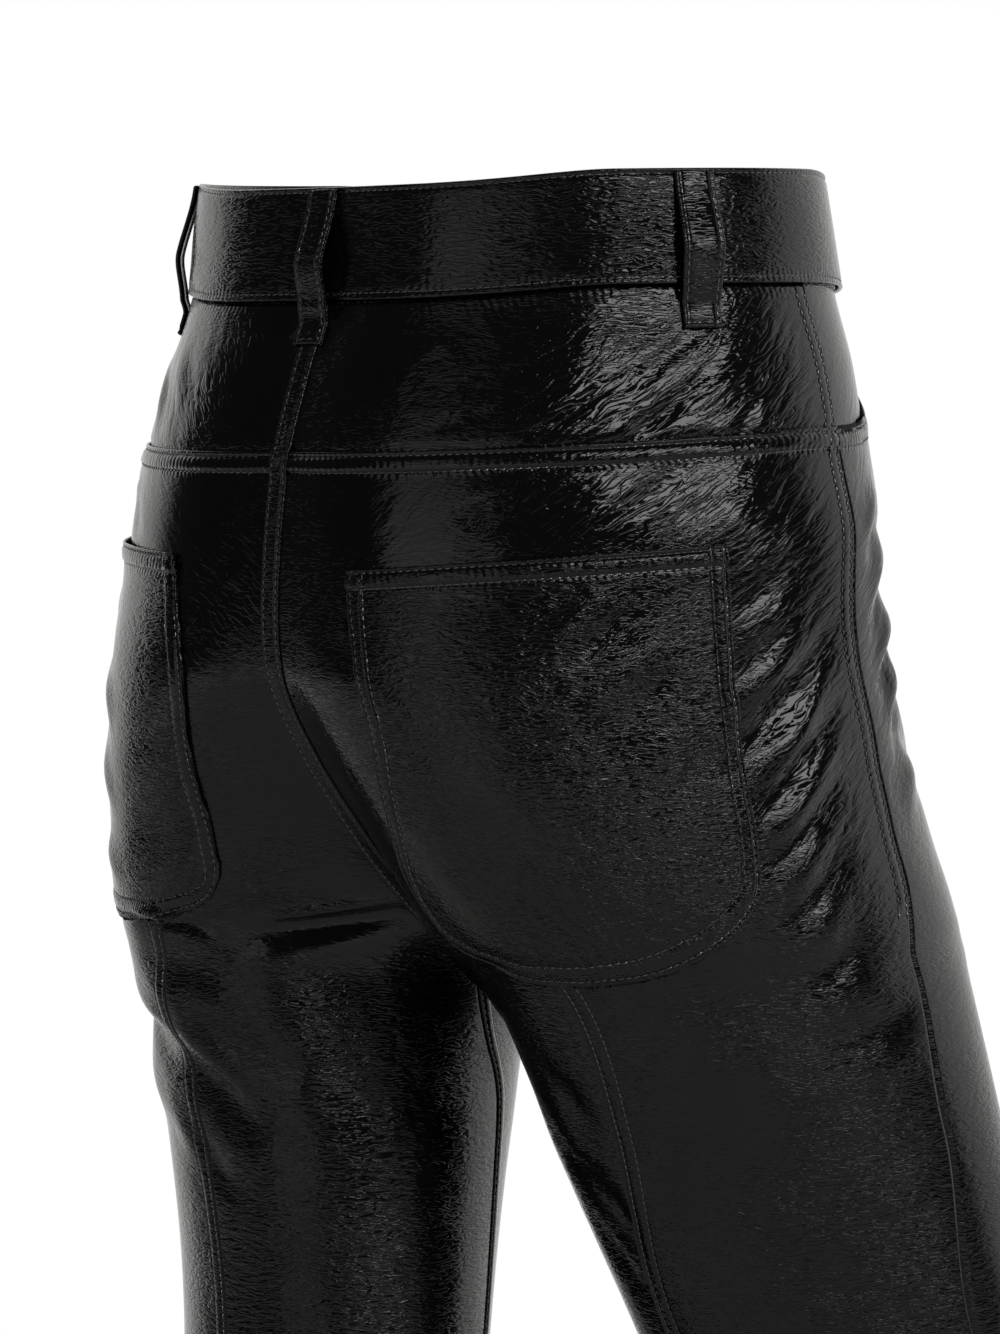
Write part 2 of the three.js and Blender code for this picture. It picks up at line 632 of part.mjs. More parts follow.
function waistButton() {
  const { radius, thick, dome } = BUTTON;
  const profile = [
    [0, 0], [radius * 0.9, 0], [radius, thick * 0.3], [radius, thick * 0.7],
    [radius * 0.9, thick], [radius * 0.5, thick + dome * 0.6], [0, thick + dome],
  ];
  return new THREE.LatheGeometry(profile.map(([x, y]) => new THREE.Vector2(x, y)), 16);
}

const VINYL = { color: 0x060606, roughness: 0.16, metalness: 0 };
const BLACK_METAL = { color: 0x1a1a1c, roughness: 0.3, metalness: 0.9 };
const vinyl = () => new THREE.MeshStandardMaterial(VINYL);
const blackMetal = () => new THREE.MeshStandardMaterial(BLACK_METAL);

const trousers = new THREE.Group();
function add(name, geometry, material) {
  geometry.deleteAttribute('normal');
  geometry.deleteAttribute('uv');
  const mesh = new THREE.Mesh(mergeVertices(geometry, 1e-4), material);
  mesh.name = name;
  trousers.add(mesh);
  return mesh;
}

const band = bandNet();
add('waistband', wall(band.net, band.place, BAND_PROUD, BAND_PROUD - BAND_WALL), vinyl());
for (const { side, word } of SIDES) {
  add(`yoke_${word}`, wall(yokeNet(side), onCloth, 0, -CLOTH), vinyl());
  add(`back_leg_${word}`, wall(backLegNet(side), onCloth, 0, -CLOTH), vinyl());
  add(`front_leg_${word}`, wall(frontLegNet(side), onCloth, 0, -CLOTH), vinyl());
  add(`hip_piece_${word}`, hipPiece(side), vinyl());
  add(`back_pocket_${word}`, backPocket(side), vinyl());
}
for (const loop of LOOPS) add(`belt_loop_${loop.word}`, beltLoop(loop), vinyl());
add('fly_flap', flyFlap(), vinyl());

const button = add('waist_button', waistButton(), blackMetal());
const seatLift = BAND_PROUD + BAND_WALL + 2 * LAY_GAP;
const seat = clothPoint(LEFT, BUTTON.angle, -BAND_FRONT_DIP, seatLift);
const outward = clothPoint(LEFT, BUTTON.angle, -BAND_FRONT_DIP, seatLift + 10).sub(seat);
outward.x = 0;
button.position.set(0, seat.y, seat.z);
button.quaternion.setFromUnitVectors(new THREE.Vector3(0, 1, 0), outward.normalize());

export default trousers;
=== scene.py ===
"""Patent vinyl trousers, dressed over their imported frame. Laid out as an add-on, run as a script.

The cloth is parametrised per half of the body: a side (the wearer's left is +1), an angle round
that half in degrees (0 outward, 90 back, -90 front) and a height. Lengths inside the pattern
functions are millimetres; meshes are made in metres.
"""
import math

import bmesh
import bpy
import numpy as np
from bpy.props import FloatProperty, FloatVectorProperty, PointerProperty
from mathutils import Matrix, Vector
from mathutils.bvhtree import BVHTree


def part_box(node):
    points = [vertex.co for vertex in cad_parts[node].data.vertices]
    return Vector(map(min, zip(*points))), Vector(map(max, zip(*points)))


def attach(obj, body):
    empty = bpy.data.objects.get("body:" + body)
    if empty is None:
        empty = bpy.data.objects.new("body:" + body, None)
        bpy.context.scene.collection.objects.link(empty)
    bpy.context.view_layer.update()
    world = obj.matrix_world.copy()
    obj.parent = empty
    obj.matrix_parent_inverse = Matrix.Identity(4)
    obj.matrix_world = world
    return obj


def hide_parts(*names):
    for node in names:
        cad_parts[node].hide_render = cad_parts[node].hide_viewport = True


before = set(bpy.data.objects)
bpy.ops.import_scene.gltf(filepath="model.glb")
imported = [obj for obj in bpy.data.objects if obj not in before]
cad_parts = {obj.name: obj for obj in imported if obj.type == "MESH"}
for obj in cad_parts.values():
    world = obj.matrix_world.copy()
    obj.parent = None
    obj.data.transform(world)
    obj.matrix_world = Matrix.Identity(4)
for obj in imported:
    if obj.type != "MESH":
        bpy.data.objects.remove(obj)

bl_info = {
    "name": "Patent Vinyl Trousers",
    "version": (1, 0, 0),
    "blender": (4, 5, 0),
    "location": "3D View > Sidebar > Trousers",
    "description": "Builds the sewn vinyl trousers over their solid frame",
    "category": "Add Mesh",
}

MM = 0.001
LEFT, RIGHT = 1, -1
WORD = {LEFT: "left", RIGHT: "right"}

# ---------------------------------------------------------------- the worn form

# height, outer, inner, depth, back, front, shear
SECTIONS = [
    (22.5, 138, 138, 15, 101, 107, 0), (-22.5, 143, 143, 15, 107, 116, 0),
    (-55, 151, 145, 14, 121, 120, 0), (-85, 157, 141, 13, 132, 118, 0),
    (-122, 165, 125, 12, 138, 106, .02), (-165, 165, 81, 12, 140, 102, .03),
    (-202, 166, 38, 10, 134, 106, .04), (-229, 168, 18, 10, 125, 108, .06),
    (-252, 168, 4, 10, 119, 107, .09), (-272, 167, -5.5, 11, 110, 104, .14),
    (-282, 166, -10, 12, 102, 100, .17), (-296, 165.5, -11.5, 12, 95, 95, .21),
    (-330, 164, -9.5, 12, 84, 85, .26), (-362, 162, -6, 12, 76, 78, .28),
    (-436, 157, -7, 12, 67, 68, .24), (-520, 150, -13, 12, 62, 63, .18),
    (-620, 143, -20, 12, 59, 61, .08), (-800, 142, -20, 12, 60, 61, 0),
    (-1040, 148, -14, 12, 67, 67, 0),
]
# height, side seam, dart seam, inseam, turn of the left leg's seams, turn of the right leg's
SEAMS = [
    (22.5, -8, 78, 180, 0, 0), (-60, -12, 79, 180, 0, 0), (-110, -10, 80, 180, 0, 0),
    (-145, -8.5, 81, 180, 0, 0), (-200, -13.5, 83, 180, 0, 0), (-245, -14.5, 86, 180, 0, 0),
    (-285, -7, 86.5, 180, 2, 0), (-350, 0, 91, 208, 0, 5), (-430, 0, 95.5, 213, 0, 15.5),
    (-620, 0, 96, 205, 0, 12), (-1040, 0, 96, 198, 0, 8),
]
# the hollow down the small of the back: height, and how far it goes in at the middle plane
SPINE = [(22.5, 5.2), (-22, 6.4), (-60, 7), (-113, 6.2), (-150, 4.6), (-178, 3), (-200, .8),
         (-222, 0)]
SPINE_WIDTH = 30
# the patch pockets: how much lower the mouth's inner end hangs, and the outline as height,
# inner edge and outer edge in degrees
POCKETS = {
    RIGHT: (8.5, [
        (-120, 80, 20), (-170, 86.5, 19.5), (-198, 94, 20), (-224, 104, 21.3),
        (-250, 115, 24.5), (-263, 117, 31.5), (-272, 115.5, 40), (-279, 108, 50),
        (-284, 99, 62), (-286.5, 90, 76)]),
    LEFT: (5.5, [
        (-118, 76.5, 20), (-138, 81.6, 19.7), (-162, 89, 19.5), (-192, 96.8, 20),
        (-217, 103.7, 21.6), (-237, 109, 25), (-249.5, 111.5, 31.5), (-257.5, 110.5, 39),
        (-263, 106, 48), (-267, 97, 59), (-269.5, 87, 72)]),
}
# how each leg hangs: slope forward, slope outward, from one height down to another
STANCE = {LEFT: (-0.105, 0.0, -190, -2600), RIGHT: (0.36, 0.11, -235, -620)}
CROTCH, CLEFT, LEG_PARTING = -282, 10, 0.13
HEM = {LEFT: -1040, RIGHT: -1012}
BAND_HEIGHT, BAND_PROUD, BAND_WALL, BAND_OVERLAP, BAND_STEP = 44, 2.0, 3.0, 26, 6
YOKE_BACK, YOKE_SIDE = -84.5, -78
SCOOP_REACH, SCOOP_DROP, SCOOP_ROUND = 46, 56, 2.5
LOOP_WIDTH, LOOP_TOP, LOOP_BELOW, LOOP_SEWN = 15.5, 21, -39, -31
LOOPS = [("centre_back", LEFT, None, 6.4), ("back_right", RIGHT, 18, 6.4),
         ("back_left", LEFT, 33, 5), ("front_right", RIGHT, -64, 5),
         ("front_left", LEFT, -64, 5)]
FLY_WIDTH, FLY_LENGTH = 36, 150
STRIP_HALF = 5.0  # half the width of the strip over the centre back seam
UNDERLAP = 1.6  # degrees that a front panel runs on under the back one, at the side seam
SIDE_ROWS_END, DART_TOP = -266, -240  # where the side seam's rows stop and the dart's start
TUCK = [7, 4.5, 2.5, 1.2, .4]  # how far a panel runs on up inside the waistband
BAND_GIRTH = 900.0  # round the waistband with its overlap, near enough to lay out its ends
BAND_DEGREE = 2.25  # millimetres of waistband to a degree
BAND_FOLDS = .6  # the share of the cloth's folds that the stiff waistband takes up
MIDDLE_CALM = 3  # degrees beside the middle plane in which the folds die away
# how thick each kind of piece is, through its one or more layers
PANEL_WALL, PATCH_WALL, HIP_WALL, FLAP_WALL, LOOP_WALL, STRIP_WALL = 1.4, 1.5, 1.3, 1.3, 1.9, 1.1

# the stitch rows of each seam, as distances in from its edge
ROW_IN, ROW_OUT = 1.9, 8.0
SIDE_ROWS = (ROW_IN, 7.4)
MOUTH_ROWS, INSEAM_ROWS, DART_ROWS = (1.7, 7.0), (1.7, 6.8), (1.4, 6.8)
PATCH_ROWS, PATCH_MOUTH_ROWS = (1.7, 7.4), (1.7, 8.1)
BAND_ROW, BAND_LOW_ROW, LOOP_ROW, STRIP_ROW = 2.0, 2.6, 1.9, 3.4
FLY_ROWS = (2.0, 7.0)
HEM_ROW = 20
# where each kind of piece starts on the map, so that no two share one stretch of crinkle
MAP_START = {"front_leg": 300, "hip_piece": 500, "back_pocket": 900, "waistband": 1400,
             "fly_flap": 1900, "centre_strip": 2300, "belt_loop": 40}
MAP_STEP, LOOP_MAP_STEP = 3.1, 31  # and how far each letter of a name moves the others on
SEAT_FOLD = -271  # the height of the fold under the seat, where the rows lie closer

# The largest folds, as in the frame: side, angle, height, along, across, tilt, rise.
FOLDS = [
    (LEFT, 112, -270, 46, 8, 4, -5), (LEFT, 88, -297, 60, 15, -14, 4),
    (LEFT, 52, -345, 60, 62, 0, 5.5), (LEFT, 78, -322, 40, 9, -24, -3),
    (LEFT, -40, -138, 34, 9, 24, -2.6), (LEFT, -44, -186, 36, 9, 30, -3),
    (LEFT, -76, -236, 40, 10, 36, -3.2), (RIGHT, -38, -125, 32, 8, 22, -2.4),
    (RIGHT, -42, -152, 36, 8, 26, -2.8), (RIGHT, -44, -214, 40, 9, 30, -3),
    (RIGHT, -80, -244, 44, 10, 34, -4), (RIGHT, 12, -182, 34, 9, -38, -2.2),
    (RIGHT, 96, -628, 44, 15, 8, -3.5), (LEFT, 92, -604, 40, 15, -6, -2.5),
]


def smooth(x):
    x = np.clip(x, 0, 1)
    return x * x * (3 - 2 * x)


def soft_ramp(x, softness):
    return softness * np.logaddexp(0, x / softness)


def mix(a, b, t):
    return a + (b - a) * t


class Rows:
    """Values between the rows of a table, on a monotone cubic, so that nothing overshoots."""

    def __init__(self, table):
        rows = np.array(sorted(table), float)
        self.x, self.y = rows[:, 0], rows[:, 1:]
        self.h = np.diff(self.x)[:, None]
        d = np.diff(self.y, axis=0) / self.h
        m = np.zeros_like(self.y)
        m[0], m[-1] = d[0], d[-1]
        same = d[:-1] * d[1:] > 0
        w1, w2 = 2 * self.h[1:] + self.h[:-1], self.h[1:] + 2 * self.h[:-1]
        with np.errstate(divide="ignore", invalid="ignore"):
            m[1:-1] = np.where(same, (w1 + w2) / (w1 / d[:-1] + w2 / d[1:]), 0)
        self.m = m

    def __call__(self, height, column):
        at = np.clip(height, self.x[0], self.x[-1])
        i = np.clip(np.searchsorted(self.x, at, side="right") - 1, 0, len(self.x) - 2)
        h = self.h[i, 0]
        t = (at - self.x[i]) / h
        y0, y1 = self.y[i, column], self.y[i + 1, column]
        m0, m1 = self.m[i, column] * h, self.m[i + 1, column] * h
        return ((1 + 2 * t) * (1 - t) ** 2 * y0 + t * (1 - t) ** 2 * m0
                + t * t * (3 - 2 * t) * y1 + t * t * (t - 1) * m1)


section, seam, spine = Rows(SECTIONS), Rows(SEAMS), Rows(SPINE)
pocket_edge = {side: Rows(edges) for side, (_, edges) in POCKETS.items()}
OUTER, INNER, DEPTH, BACK, FRONT, SHEAR = range(6)


def cleft(height):
    return np.maximum(0, CLEFT - LEG_PARTING * np.maximum(0, CROTCH - height))


def centre_angle(height, short=0.0):
    """The angle at which one half reaches the middle plane, or stops a little short of it."""
    outer, inner = section(height, OUTER), section(height, INNER)
    cosine = (np.hypot(CLEFT, short) - (outer - inner) / 2) / ((outer + inner) / 2)
    return np.degrees(np.arccos(np.clip(cosine, -1, 1)))


def leg_turn(side, height):
    return seam(height, 3 if side == LEFT else 4)


def side_seam(side, height):
    return seam(height, 0) + leg_turn(side, height)


def dart_seam(side, height):
    return seam(height, 1) + leg_turn(side, height)


def inner_edge(side, height, direction):
    """A back (+1) or front (-1) panel's inner edge: the middle plane, and then the inseam."""
    height = np.asarray(height, float)
    inseam = seam(height, 2) + leg_turn(side, height) * smooth((CROTCH - height) / 60)
    middle = direction * centre_angle(height)
    return np.where(height > CROTCH, middle, inseam if direction > 0 else inseam - 360)


def form(side, angle, height):
    """A point of the smooth form, in millimetres."""
    angle, height = np.broadcast_arrays(np.asarray(angle, float), np.asarray(height, float))
    outer, inner = section(height, OUTER), section(height, INNER)
    half = (outer + inner) / 2
    a = np.radians(angle)
    flatness = 0.25 + 0.75 * smooth((-170 - height) / 70)
    front = -np.sin(np.pi / 2 + np.maximum(0, np.abs(a) - np.pi / 2) * flatness)
    sine = np.where((a < -np.pi / 2) & (a > -np.pi), front, np.sin(a))
    reach = (outer - inner) / 2 + half * np.cos(a)
    middle = np.sqrt(np.maximum(reach ** 2 - cleft(height) ** 2, 0))
    bulge = np.where(sine > 0, section(height, BACK), section(height, FRONT))
    hollow = np.where(sine > 0, spine(height, 0) * np.exp(-(middle / SPINE_WIDTH) ** 2), 0)
    y = (section(height, DEPTH) + (bulge - hollow) * sine
         - section(height, SHEAR) * half * np.cos(a))
    forward, out, start, knee = STANCE[side]
    fall = soft_ramp(start - height, 12) - soft_ramp(knee - height, 40)
    freedom = smooth((middle + np.maximum(0, CROTCH - height)) / 60)
    return np.stack([side * (middle + out * fall * freedom), y - forward * fall * freedom,
                     height], axis=-1)


def girth_at(height):
    """Millimetres of cloth to one degree, near enough to lay out folds."""
    below = np.where(height > CROTCH, 1.0, 0.62)
    return math.radians(1) * (section(height, BACK) + section(height, OUTER)) / 2 * below


def flat_scale(height):
    """The same at one height, for a piece that is laid out flat."""
    return float(girth_at(np.float64(height)))


def cloth_per_degree(side, angle, height):
    """The same, measured on the form."""
    return np.linalg.norm(form(side, angle + .5, height) - form(side, angle - .5, height),
                          axis=-1)


def on_fold(angle, height, a0, h0, along, across, tilt, bend=0.0):
    """Where a point lies on a fold: how far along it and across it, in shares of its size."""
    t = math.radians(tilt)
    x, y = (angle - a0) * flat_scale(h0), height - h0
    u = (x * math.cos(t) + y * math.sin(t)) / along
    return u, (y * math.cos(t) - x * math.sin(t) - bend * u * u) / across


def swell(side, angle, height):
    """How far the frame's own folds lift the cloth."""
    rise = np.zeros(np.broadcast(angle, height).shape)
    for s, *fold, lift in FOLDS:
        if s == side:
            u, v = on_fold(angle, height, *fold)
            rise = rise + lift * np.exp(-u * u - v * v)
    return rise


# ---------------------------------------------------------------- creases of the cloth

# Soft troughs (rise below 0) and ridges: side, angle, height, along, across, tilt, bend, rise.
# "tilt" turns a crease's length up toward the back, and "bend" lifts its ends by so many mm.
CREASES = [
    # drag lines from the right side seam down toward the seat, on the yoke
    (RIGHT, 26, -50, 34, 3.2, -34, 2, -1.3), (RIGHT, 33, -57, 42, 3.6, -36, 3, 1.2),
    (RIGHT, 38, -64, 38, 3.0, -33, 2, -1.5), (RIGHT, 45, -69, 34, 3.4, -30, 3, 1.1),
    (RIGHT, 24, -66, 26, 3.2, -38, 2, -1.6), (RIGHT, 15, -60, 20, 3.6, -40, 1, 1.2),
    (RIGHT, 30, -76, 26, 2.8, -32, 1, -1.2), (RIGHT, 50, -54, 26, 3.4, -20, 2, -0.8),
    (RIGHT, 58, -72, 22, 3.0, -18, 1, -0.7), (RIGHT, 12, -76, 16, 3.0, -42, 1, -1.3),
    # and below the yoke seam, toward the pocket
    (RIGHT, 28, -96, 32, 3.2, -34, 2, -1.3), (RIGHT, 36, -101, 36, 3.4, -31, 2, 1.2),
    (RIGHT, 24, -106, 24, 3.0, -38, 2, -1.5), (RIGHT, 46, -106, 28, 3.0, -24, 2, -0.9),
    (RIGHT, 17, -110, 22, 3.4, -42, 1, 1.3), (RIGHT, 54, -98, 22, 3.2, -16, 1, 0.8),
    # folds between the pocket and the side seam
    (RIGHT, 12, -136, 28, 4.0, -36, 3, -1.4), (RIGHT, 11, -149, 26, 5.0, -34, 3, 1.6),
    (RIGHT, 13, -160, 32, 3.6, -40, 3, -2.2), (RIGHT, 12, -169, 36, 6.0, -40, 4, 2.8),
    (RIGHT, 10, -181, 38, 3.8, -42, 4, -3.0), (RIGHT, 9, -193, 40, 6.5, -40, 4, 3.2),
    (RIGHT, 9, -206, 38, 4.0, -40, 4, -3.2), (RIGHT, 9, -218, 40, 6.5, -38, 4, 3.0),
    (RIGHT, 11, -230, 36, 4.4, -36, 3, -2.8), (RIGHT, 13, -242, 36, 6.5, -32, 3, 2.2),
    (RIGHT, 12, -254, 34, 4.6, -30, 3, -2.2), (RIGHT, 16, -268, 36, 7.0, -26, 3, 1.8),
    (RIGHT, 14, -281, 34, 5.0, -24, 3, -1.6), (RIGHT, 20, -296, 36, 7.0, -20, 3, 1.4),
    (RIGHT, 16, -310, 34, 5.0, -18, 3, -1.2), (RIGHT, 24, -326, 36, 7.0, -16, 3, 1.0),
    (RIGHT, 44, -146, 26, 3.6, -36, 2, 1.3), (RIGHT, 41, -154, 28, 3.0, -36, 2, -1.4),
    (RIGHT, 38, -168, 30, 4.0, -38, 3, 1.4), (RIGHT, 35, -178, 28, 3.2, -38, 3, -1.3),
    (RIGHT, 34, -196, 26, 5.0, -34, 3, 1.0), (RIGHT, 31, -208, 24, 4.0, -34, 3, -1.1),
    # the same stress runs on across the right front
    (RIGHT, -22, -108, 24, 5.0, -26, -3, 2.0), (RIGHT, -23, -118, 24, 4.0, -28, -3, -2.4),
    (RIGHT, -24, -131, 24, 5.5, -28, -3, 2.4), (RIGHT, -25, -145, 26, 3.8, -30, -3, -2.8),
    (RIGHT, -27, -157, 26, 5.5, -30, -3, 3.4), (RIGHT, -28, -168, 26, 3.6, -32, -3, -3.2),
    (RIGHT, -29, -178, 28, 5.5, -30, -3, 3.2), (RIGHT, -30, -191, 28, 4.4, -30, -3, -2.2),
    (RIGHT, -32, -212, 32, 8.0, -26, -3, 2.2),
    (RIGHT, -58, -206, 34, 5.0, 34, -4, -1.8), (RIGHT, -62, -226, 38, 6.0, 34, -4, 1.8),
    (RIGHT, -74, -262, 34, 5.0, 30, -4, -2.0), (RIGHT, -60, -290, 40, 8.0, 22, -4, 1.6),
    # the left hip and front, quieter
    (LEFT, 14, -58, 26, 3.4, -36, 2, -1.1), (LEFT, 20, -68, 28, 3.6, -34, 2, 1.0),
    (LEFT, 28, -74, 24, 3.2, -30, 2, -1.0), (LEFT, 13, -104, 24, 3.8, -36, 2, -1.1),
    (LEFT, 42, -58, 26, 4.0, -40, 2, 1.3), (LEFT, 50, -66, 26, 3.4, -38, 2, -1.4),
    (LEFT, 58, -56, 24, 4.6, -34, 2, 1.0), (LEFT, 46, -98, 26, 4.0, -36, 2, 1.3),
    (LEFT, 52, -108, 28, 3.6, -34, 2, -1.4), (LEFT, 44, -148, 30, 5.0, -40, 3, 1.8),
    (LEFT, 50, -162, 32, 4.0, -40, 3, -2.0), (LEFT, 56, -178, 34, 6.0, -38, 3, 2.0),
    (LEFT, 48, -194, 32, 4.2, -36, 3, -2.0), (LEFT, 60, -212, 34, 6.5, -32, 3, 1.8),
    (LEFT, 54, -230, 30, 4.6, -28, 3, -1.8), (LEFT, 66, -246, 30, 6.0, -20, 3, 1.4),
    (LEFT, 20, -112, 22, 4.0, -32, 2, 0.9), (LEFT, -14, -150, 26, 5.0, 26, -3, 1.4),
    (LEFT, -30, -160, 30, 5.0, 28, -3, -1.8), (LEFT, -34, -206, 30, 5.5, 30, -3, 1.7),
    (LEFT, -58, -216, 34, 5.0, 34, -4, -1.8), (LEFT, -70, -256, 36, 6.0, 32, -4, -2.0),
    (LEFT, -52, -284, 40, 9.0, 20, -4, 1.5),
    # below the waistband at the centre back
    (LEFT, 84, -36, 14, 3.4, -52, 1, -1.0), (LEFT, 78, -44, 16, 3.6, -48, 1, 0.8),
    (RIGHT, 82, -34, 12, 3.0, -40, 1, -0.6), (LEFT, 62, -52, 18, 4.0, -30, 2, -0.6),
    (RIGHT, 64, -44, 18, 4.2, -18, 2, 0.5), (LEFT, 46, -60, 20, 4.0, -26, 2, -0.6),
    # the fold under the left side of the seat, its thin bright edge and the folds below it
    (LEFT, 137, -265, 78, 2.4, 6, 0, 1.8), (LEFT, 138, -279, 84, 9.5, 6, 0, 2.8),
    (LEFT, 139, -272, 80, 5.4, 6, 0, -3.4), (LEFT, 96, -268, 50, 2.4, -6, -4, 4.2),
    (LEFT, 95, -273, 50, 3.2, -5, -4, -3.6), (LEFT, 96, -286, 46, 17, -5, -3, -3.4),
    (LEFT, 92, -302, 36, 9.0, -10, -2, 1.6),
    (LEFT, 113, -316, 38, 4.6, -30, 2, -3.6), (LEFT, 101, -324, 30, 5.5, -40, 2, 3.0),
    (LEFT, 104, -341, 28, 8.0, -48, 0, -3.4), (LEFT, 132, -338, 24, 8.0, 50, 0, 1.6),
    (LEFT, 74, -306, 34, 6.0, -26, 2, 2.4), (LEFT, 66, -318, 30, 5.0, -34, 2, -2.2),
    (LEFT, 60, -338, 30, 8.0, -40, 2, 1.8), (LEFT, 82, -356, 26, 7.0, -44, 2, 1.6),
    (LEFT, 96, -368, 26, 6.0, -50, 2, -1.6),
    # where the right seat turns into the thigh
    (RIGHT, 112, -284, 34, 5.0, -14, 4, -1.6), (RIGHT, 128, -276, 26, 4.4, -26, 3, 1.6),
    (RIGHT, 138, -292, 26, 5.0, -30, 3, -1.8), (RIGHT, 60, -300, 34, 5.0, 8, 3, -0.7),
    (RIGHT, 44, -312, 34, 6.0, 10, 3, 0.7), (RIGHT, 70, -330, 40, 7.0, 6, 3, -0.6),
    (RIGHT, 109, -334, 20, 6.0, 62, 0, -2.4), (RIGHT, 117, -352, 22, 6.0, 66, 0, 1.6),
    (RIGHT, 112, -374, 22, 5.0, 58, 0, -2.4), (RIGHT, 120, -402, 26, 6.0, 64, 0, -1.6),
    # the crotch in front
    (LEFT, -104, -262, 28, 5.0, 40, -3, -1.8), (RIGHT, -104, -264, 28, 5.0, 40, -3, -1.8),
    (LEFT, -96, -292, 30, 6.0, 24, -3, 1.4), (RIGHT, -92, -300, 34, 6.0, 24, -3, 1.4),
    # behind the knees and down the shins
    (RIGHT, 92, -590, 40, 8.0, 14, 4, 1.8), (RIGHT, 104, -604, 36, 6.0, 10, 4, -1.8),
    (RIGHT, 86, -650, 40, 7.0, -6, 4, 1.8), (RIGHT, 110, -664, 34, 6.0, 6, 4, -1.6),
    (RIGHT, 70, -624, 28, 6.0, -14, 3, -1.2), (RIGHT, 60, -700, 44, 10, 16, 4, 1.2),
    (LEFT, 88, -572, 40, 8.0, -10, 4, 1.6), (LEFT, 104, -590, 34, 6.0, 8, 4, -1.6),
    (LEFT, 84, -630, 40, 7.0, 8, 4, 1.6), (LEFT, 66, -612, 28, 6.0, -16, 3, -1.2),
    (LEFT, 108, -650, 34, 6.0, -6, 4, -1.4), (LEFT, 70, -700, 44, 10, -14, 4, 1.1),
    (RIGHT, -88, -520, 50, 12, 8, 5, 1.4), (LEFT, -84, -500, 50, 12, -8, 5, 1.2),
    (RIGHT, -96, -400, 44, 10, 16, 4, -1.4), (LEFT, -92, -390, 44, 10, 14, 4, -1.4),
    (RIGHT, 20, -860, 60, 14, 12, 5, 1.4), (LEFT, 24, -880, 60, 14, -12, 5, 1.4),
    (RIGHT, 96, -960, 60, 12, 6, 5, -1.4), (LEFT, 96, -990, 60, 12, -6, 5, -1.4),
    (RIGHT, -90, -930, 60, 13, 8, 5, 1.3), (LEFT, -90, -950, 60, 13, -8, 5, 1.3),
]


def creased(side, angle, height):
    """How far the cloth's own creases lift it, with the frame's folds."""
    rise = swell(side, angle, height)
    for s, *crease, lift in CREASES:
        if s == side:
            u, v = on_fold(angle, height, *crease)
            near = (np.abs(u) < 1) & (np.abs(v) < 4)
            rise = rise + np.where(near, lift * (1 - u * u) ** 2 * np.exp(-v * v), 0)
    to_middle = np.where(height > CROTCH, centre_angle(height) - np.abs(angle), 3 * MIDDLE_CALM)
    return rise * smooth(to_middle / MIDDLE_CALM)


def outward(side, angle, height):
    """The smooth form's outward normal."""
    angle, height = np.broadcast_arrays(np.asarray(angle, float), np.asarray(height, float))
    limit = np.where(height > CROTCH, centre_angle(height), 400)
    a0 = np.where(height > CROTCH, np.maximum(-limit, angle - .05), angle - .05)
    a1 = np.minimum(limit, angle + .05)
    across = form(side, a1, height) - form(side, a0, height)
    up = form(side, angle, height + .05) - form(side, angle, height - .05)
    normal = np.cross(across, up) * side
    return normal / np.maximum(np.linalg.norm(normal, axis=-1, keepdims=True), 1e-9)


def cloth(side, angle, height, lift=0.0, folds=1.0):
    """A point of the cloth's outer face, moved out by a lift, in millimetres."""
    rise = lift + folds * creased(side, angle, height)
    return form(side, angle, height) + outward(side, angle, height) * rise[..., None]


# ---------------------------------------------------------------- nets and walls


def either_half(left, angle, height, lift, folds=1.0):
    """Points and normals of cloth that crosses the middle plane, each on its own half."""
    points = [cloth(side, angle, height, lift, folds) for side in (LEFT, RIGHT)]
    normals = [outward(side, angle, height) for side in (LEFT, RIGHT)]
    return np.where(left[..., None], *points), np.where(left[..., None], *normals)


def arcs(side, start, end, height, samples=181):
    """For each row, the length of cloth from the start angle to each sample toward the end."""
    t = np.linspace(0, 1, samples)
    angle = start[:, None] + (end - start)[:, None] * t
    points = form(side, angle, height[:, None])
    steps = np.linalg.norm(np.diff(points, axis=1), axis=-1)
    return t, np.concatenate([np.zeros((len(start), 1)), np.cumsum(steps, axis=1)], axis=1)


def columns(anchors, fans, steps):
    """Distances across each row: close together in a fan at each anchor, even between them."""
    parts = []
    last = len(anchors) - 1
    for k, (at, fan) in enumerate(zip(anchors, fans)):
        fan = np.asarray(fan, float)
        before = after = np.ones_like(at)
        if k > 0:
            before = np.minimum(1, 0.45 * (at - anchors[k - 1]) / fan[-1])
            parts.append(at[:, None] - fan[::-1][None] * before[:, None])
        parts.append(at[:, None])
        if k < last:
            after = np.minimum(1, 0.45 * (anchors[k + 1] - at) / fan[-1])
            parts.append(at[:, None] + fan[None] * after[:, None])
            other = np.asarray(fans[k + 1], float)[-1]
            squeeze = np.minimum(1, 0.45 * (anchors[k + 1] - at) / other)
            low, high = at + fan[-1] * after, anchors[k + 1] - other * squeeze
            t = np.linspace(0, 1, steps[k] + 2)[1:-1]
            parts.append(low[:, None] + (high - low)[:, None] * t)
    return np.concatenate(parts, axis=1)


def fanned(fan, low, high, count, gap=None):
    """Distances from low to high: a fan at both ends, and even steps between them."""
    fan = np.asarray(fan, float)
    if gap is None:
        even = np.linspace(low + fan[-1], high - fan[-1], count + 2)[1:-1]
    else:
        even = np.linspace(low + gap, high - gap, count)
    return np.concatenate([low + fan, even, high - fan[::-1]])


def angles_at(t, lengths, distance):
    """The share of the way round at which each distance is reached, row by row."""
    return np.stack([np.interp(d, row, t) for row, d in zip(lengths, distance)])


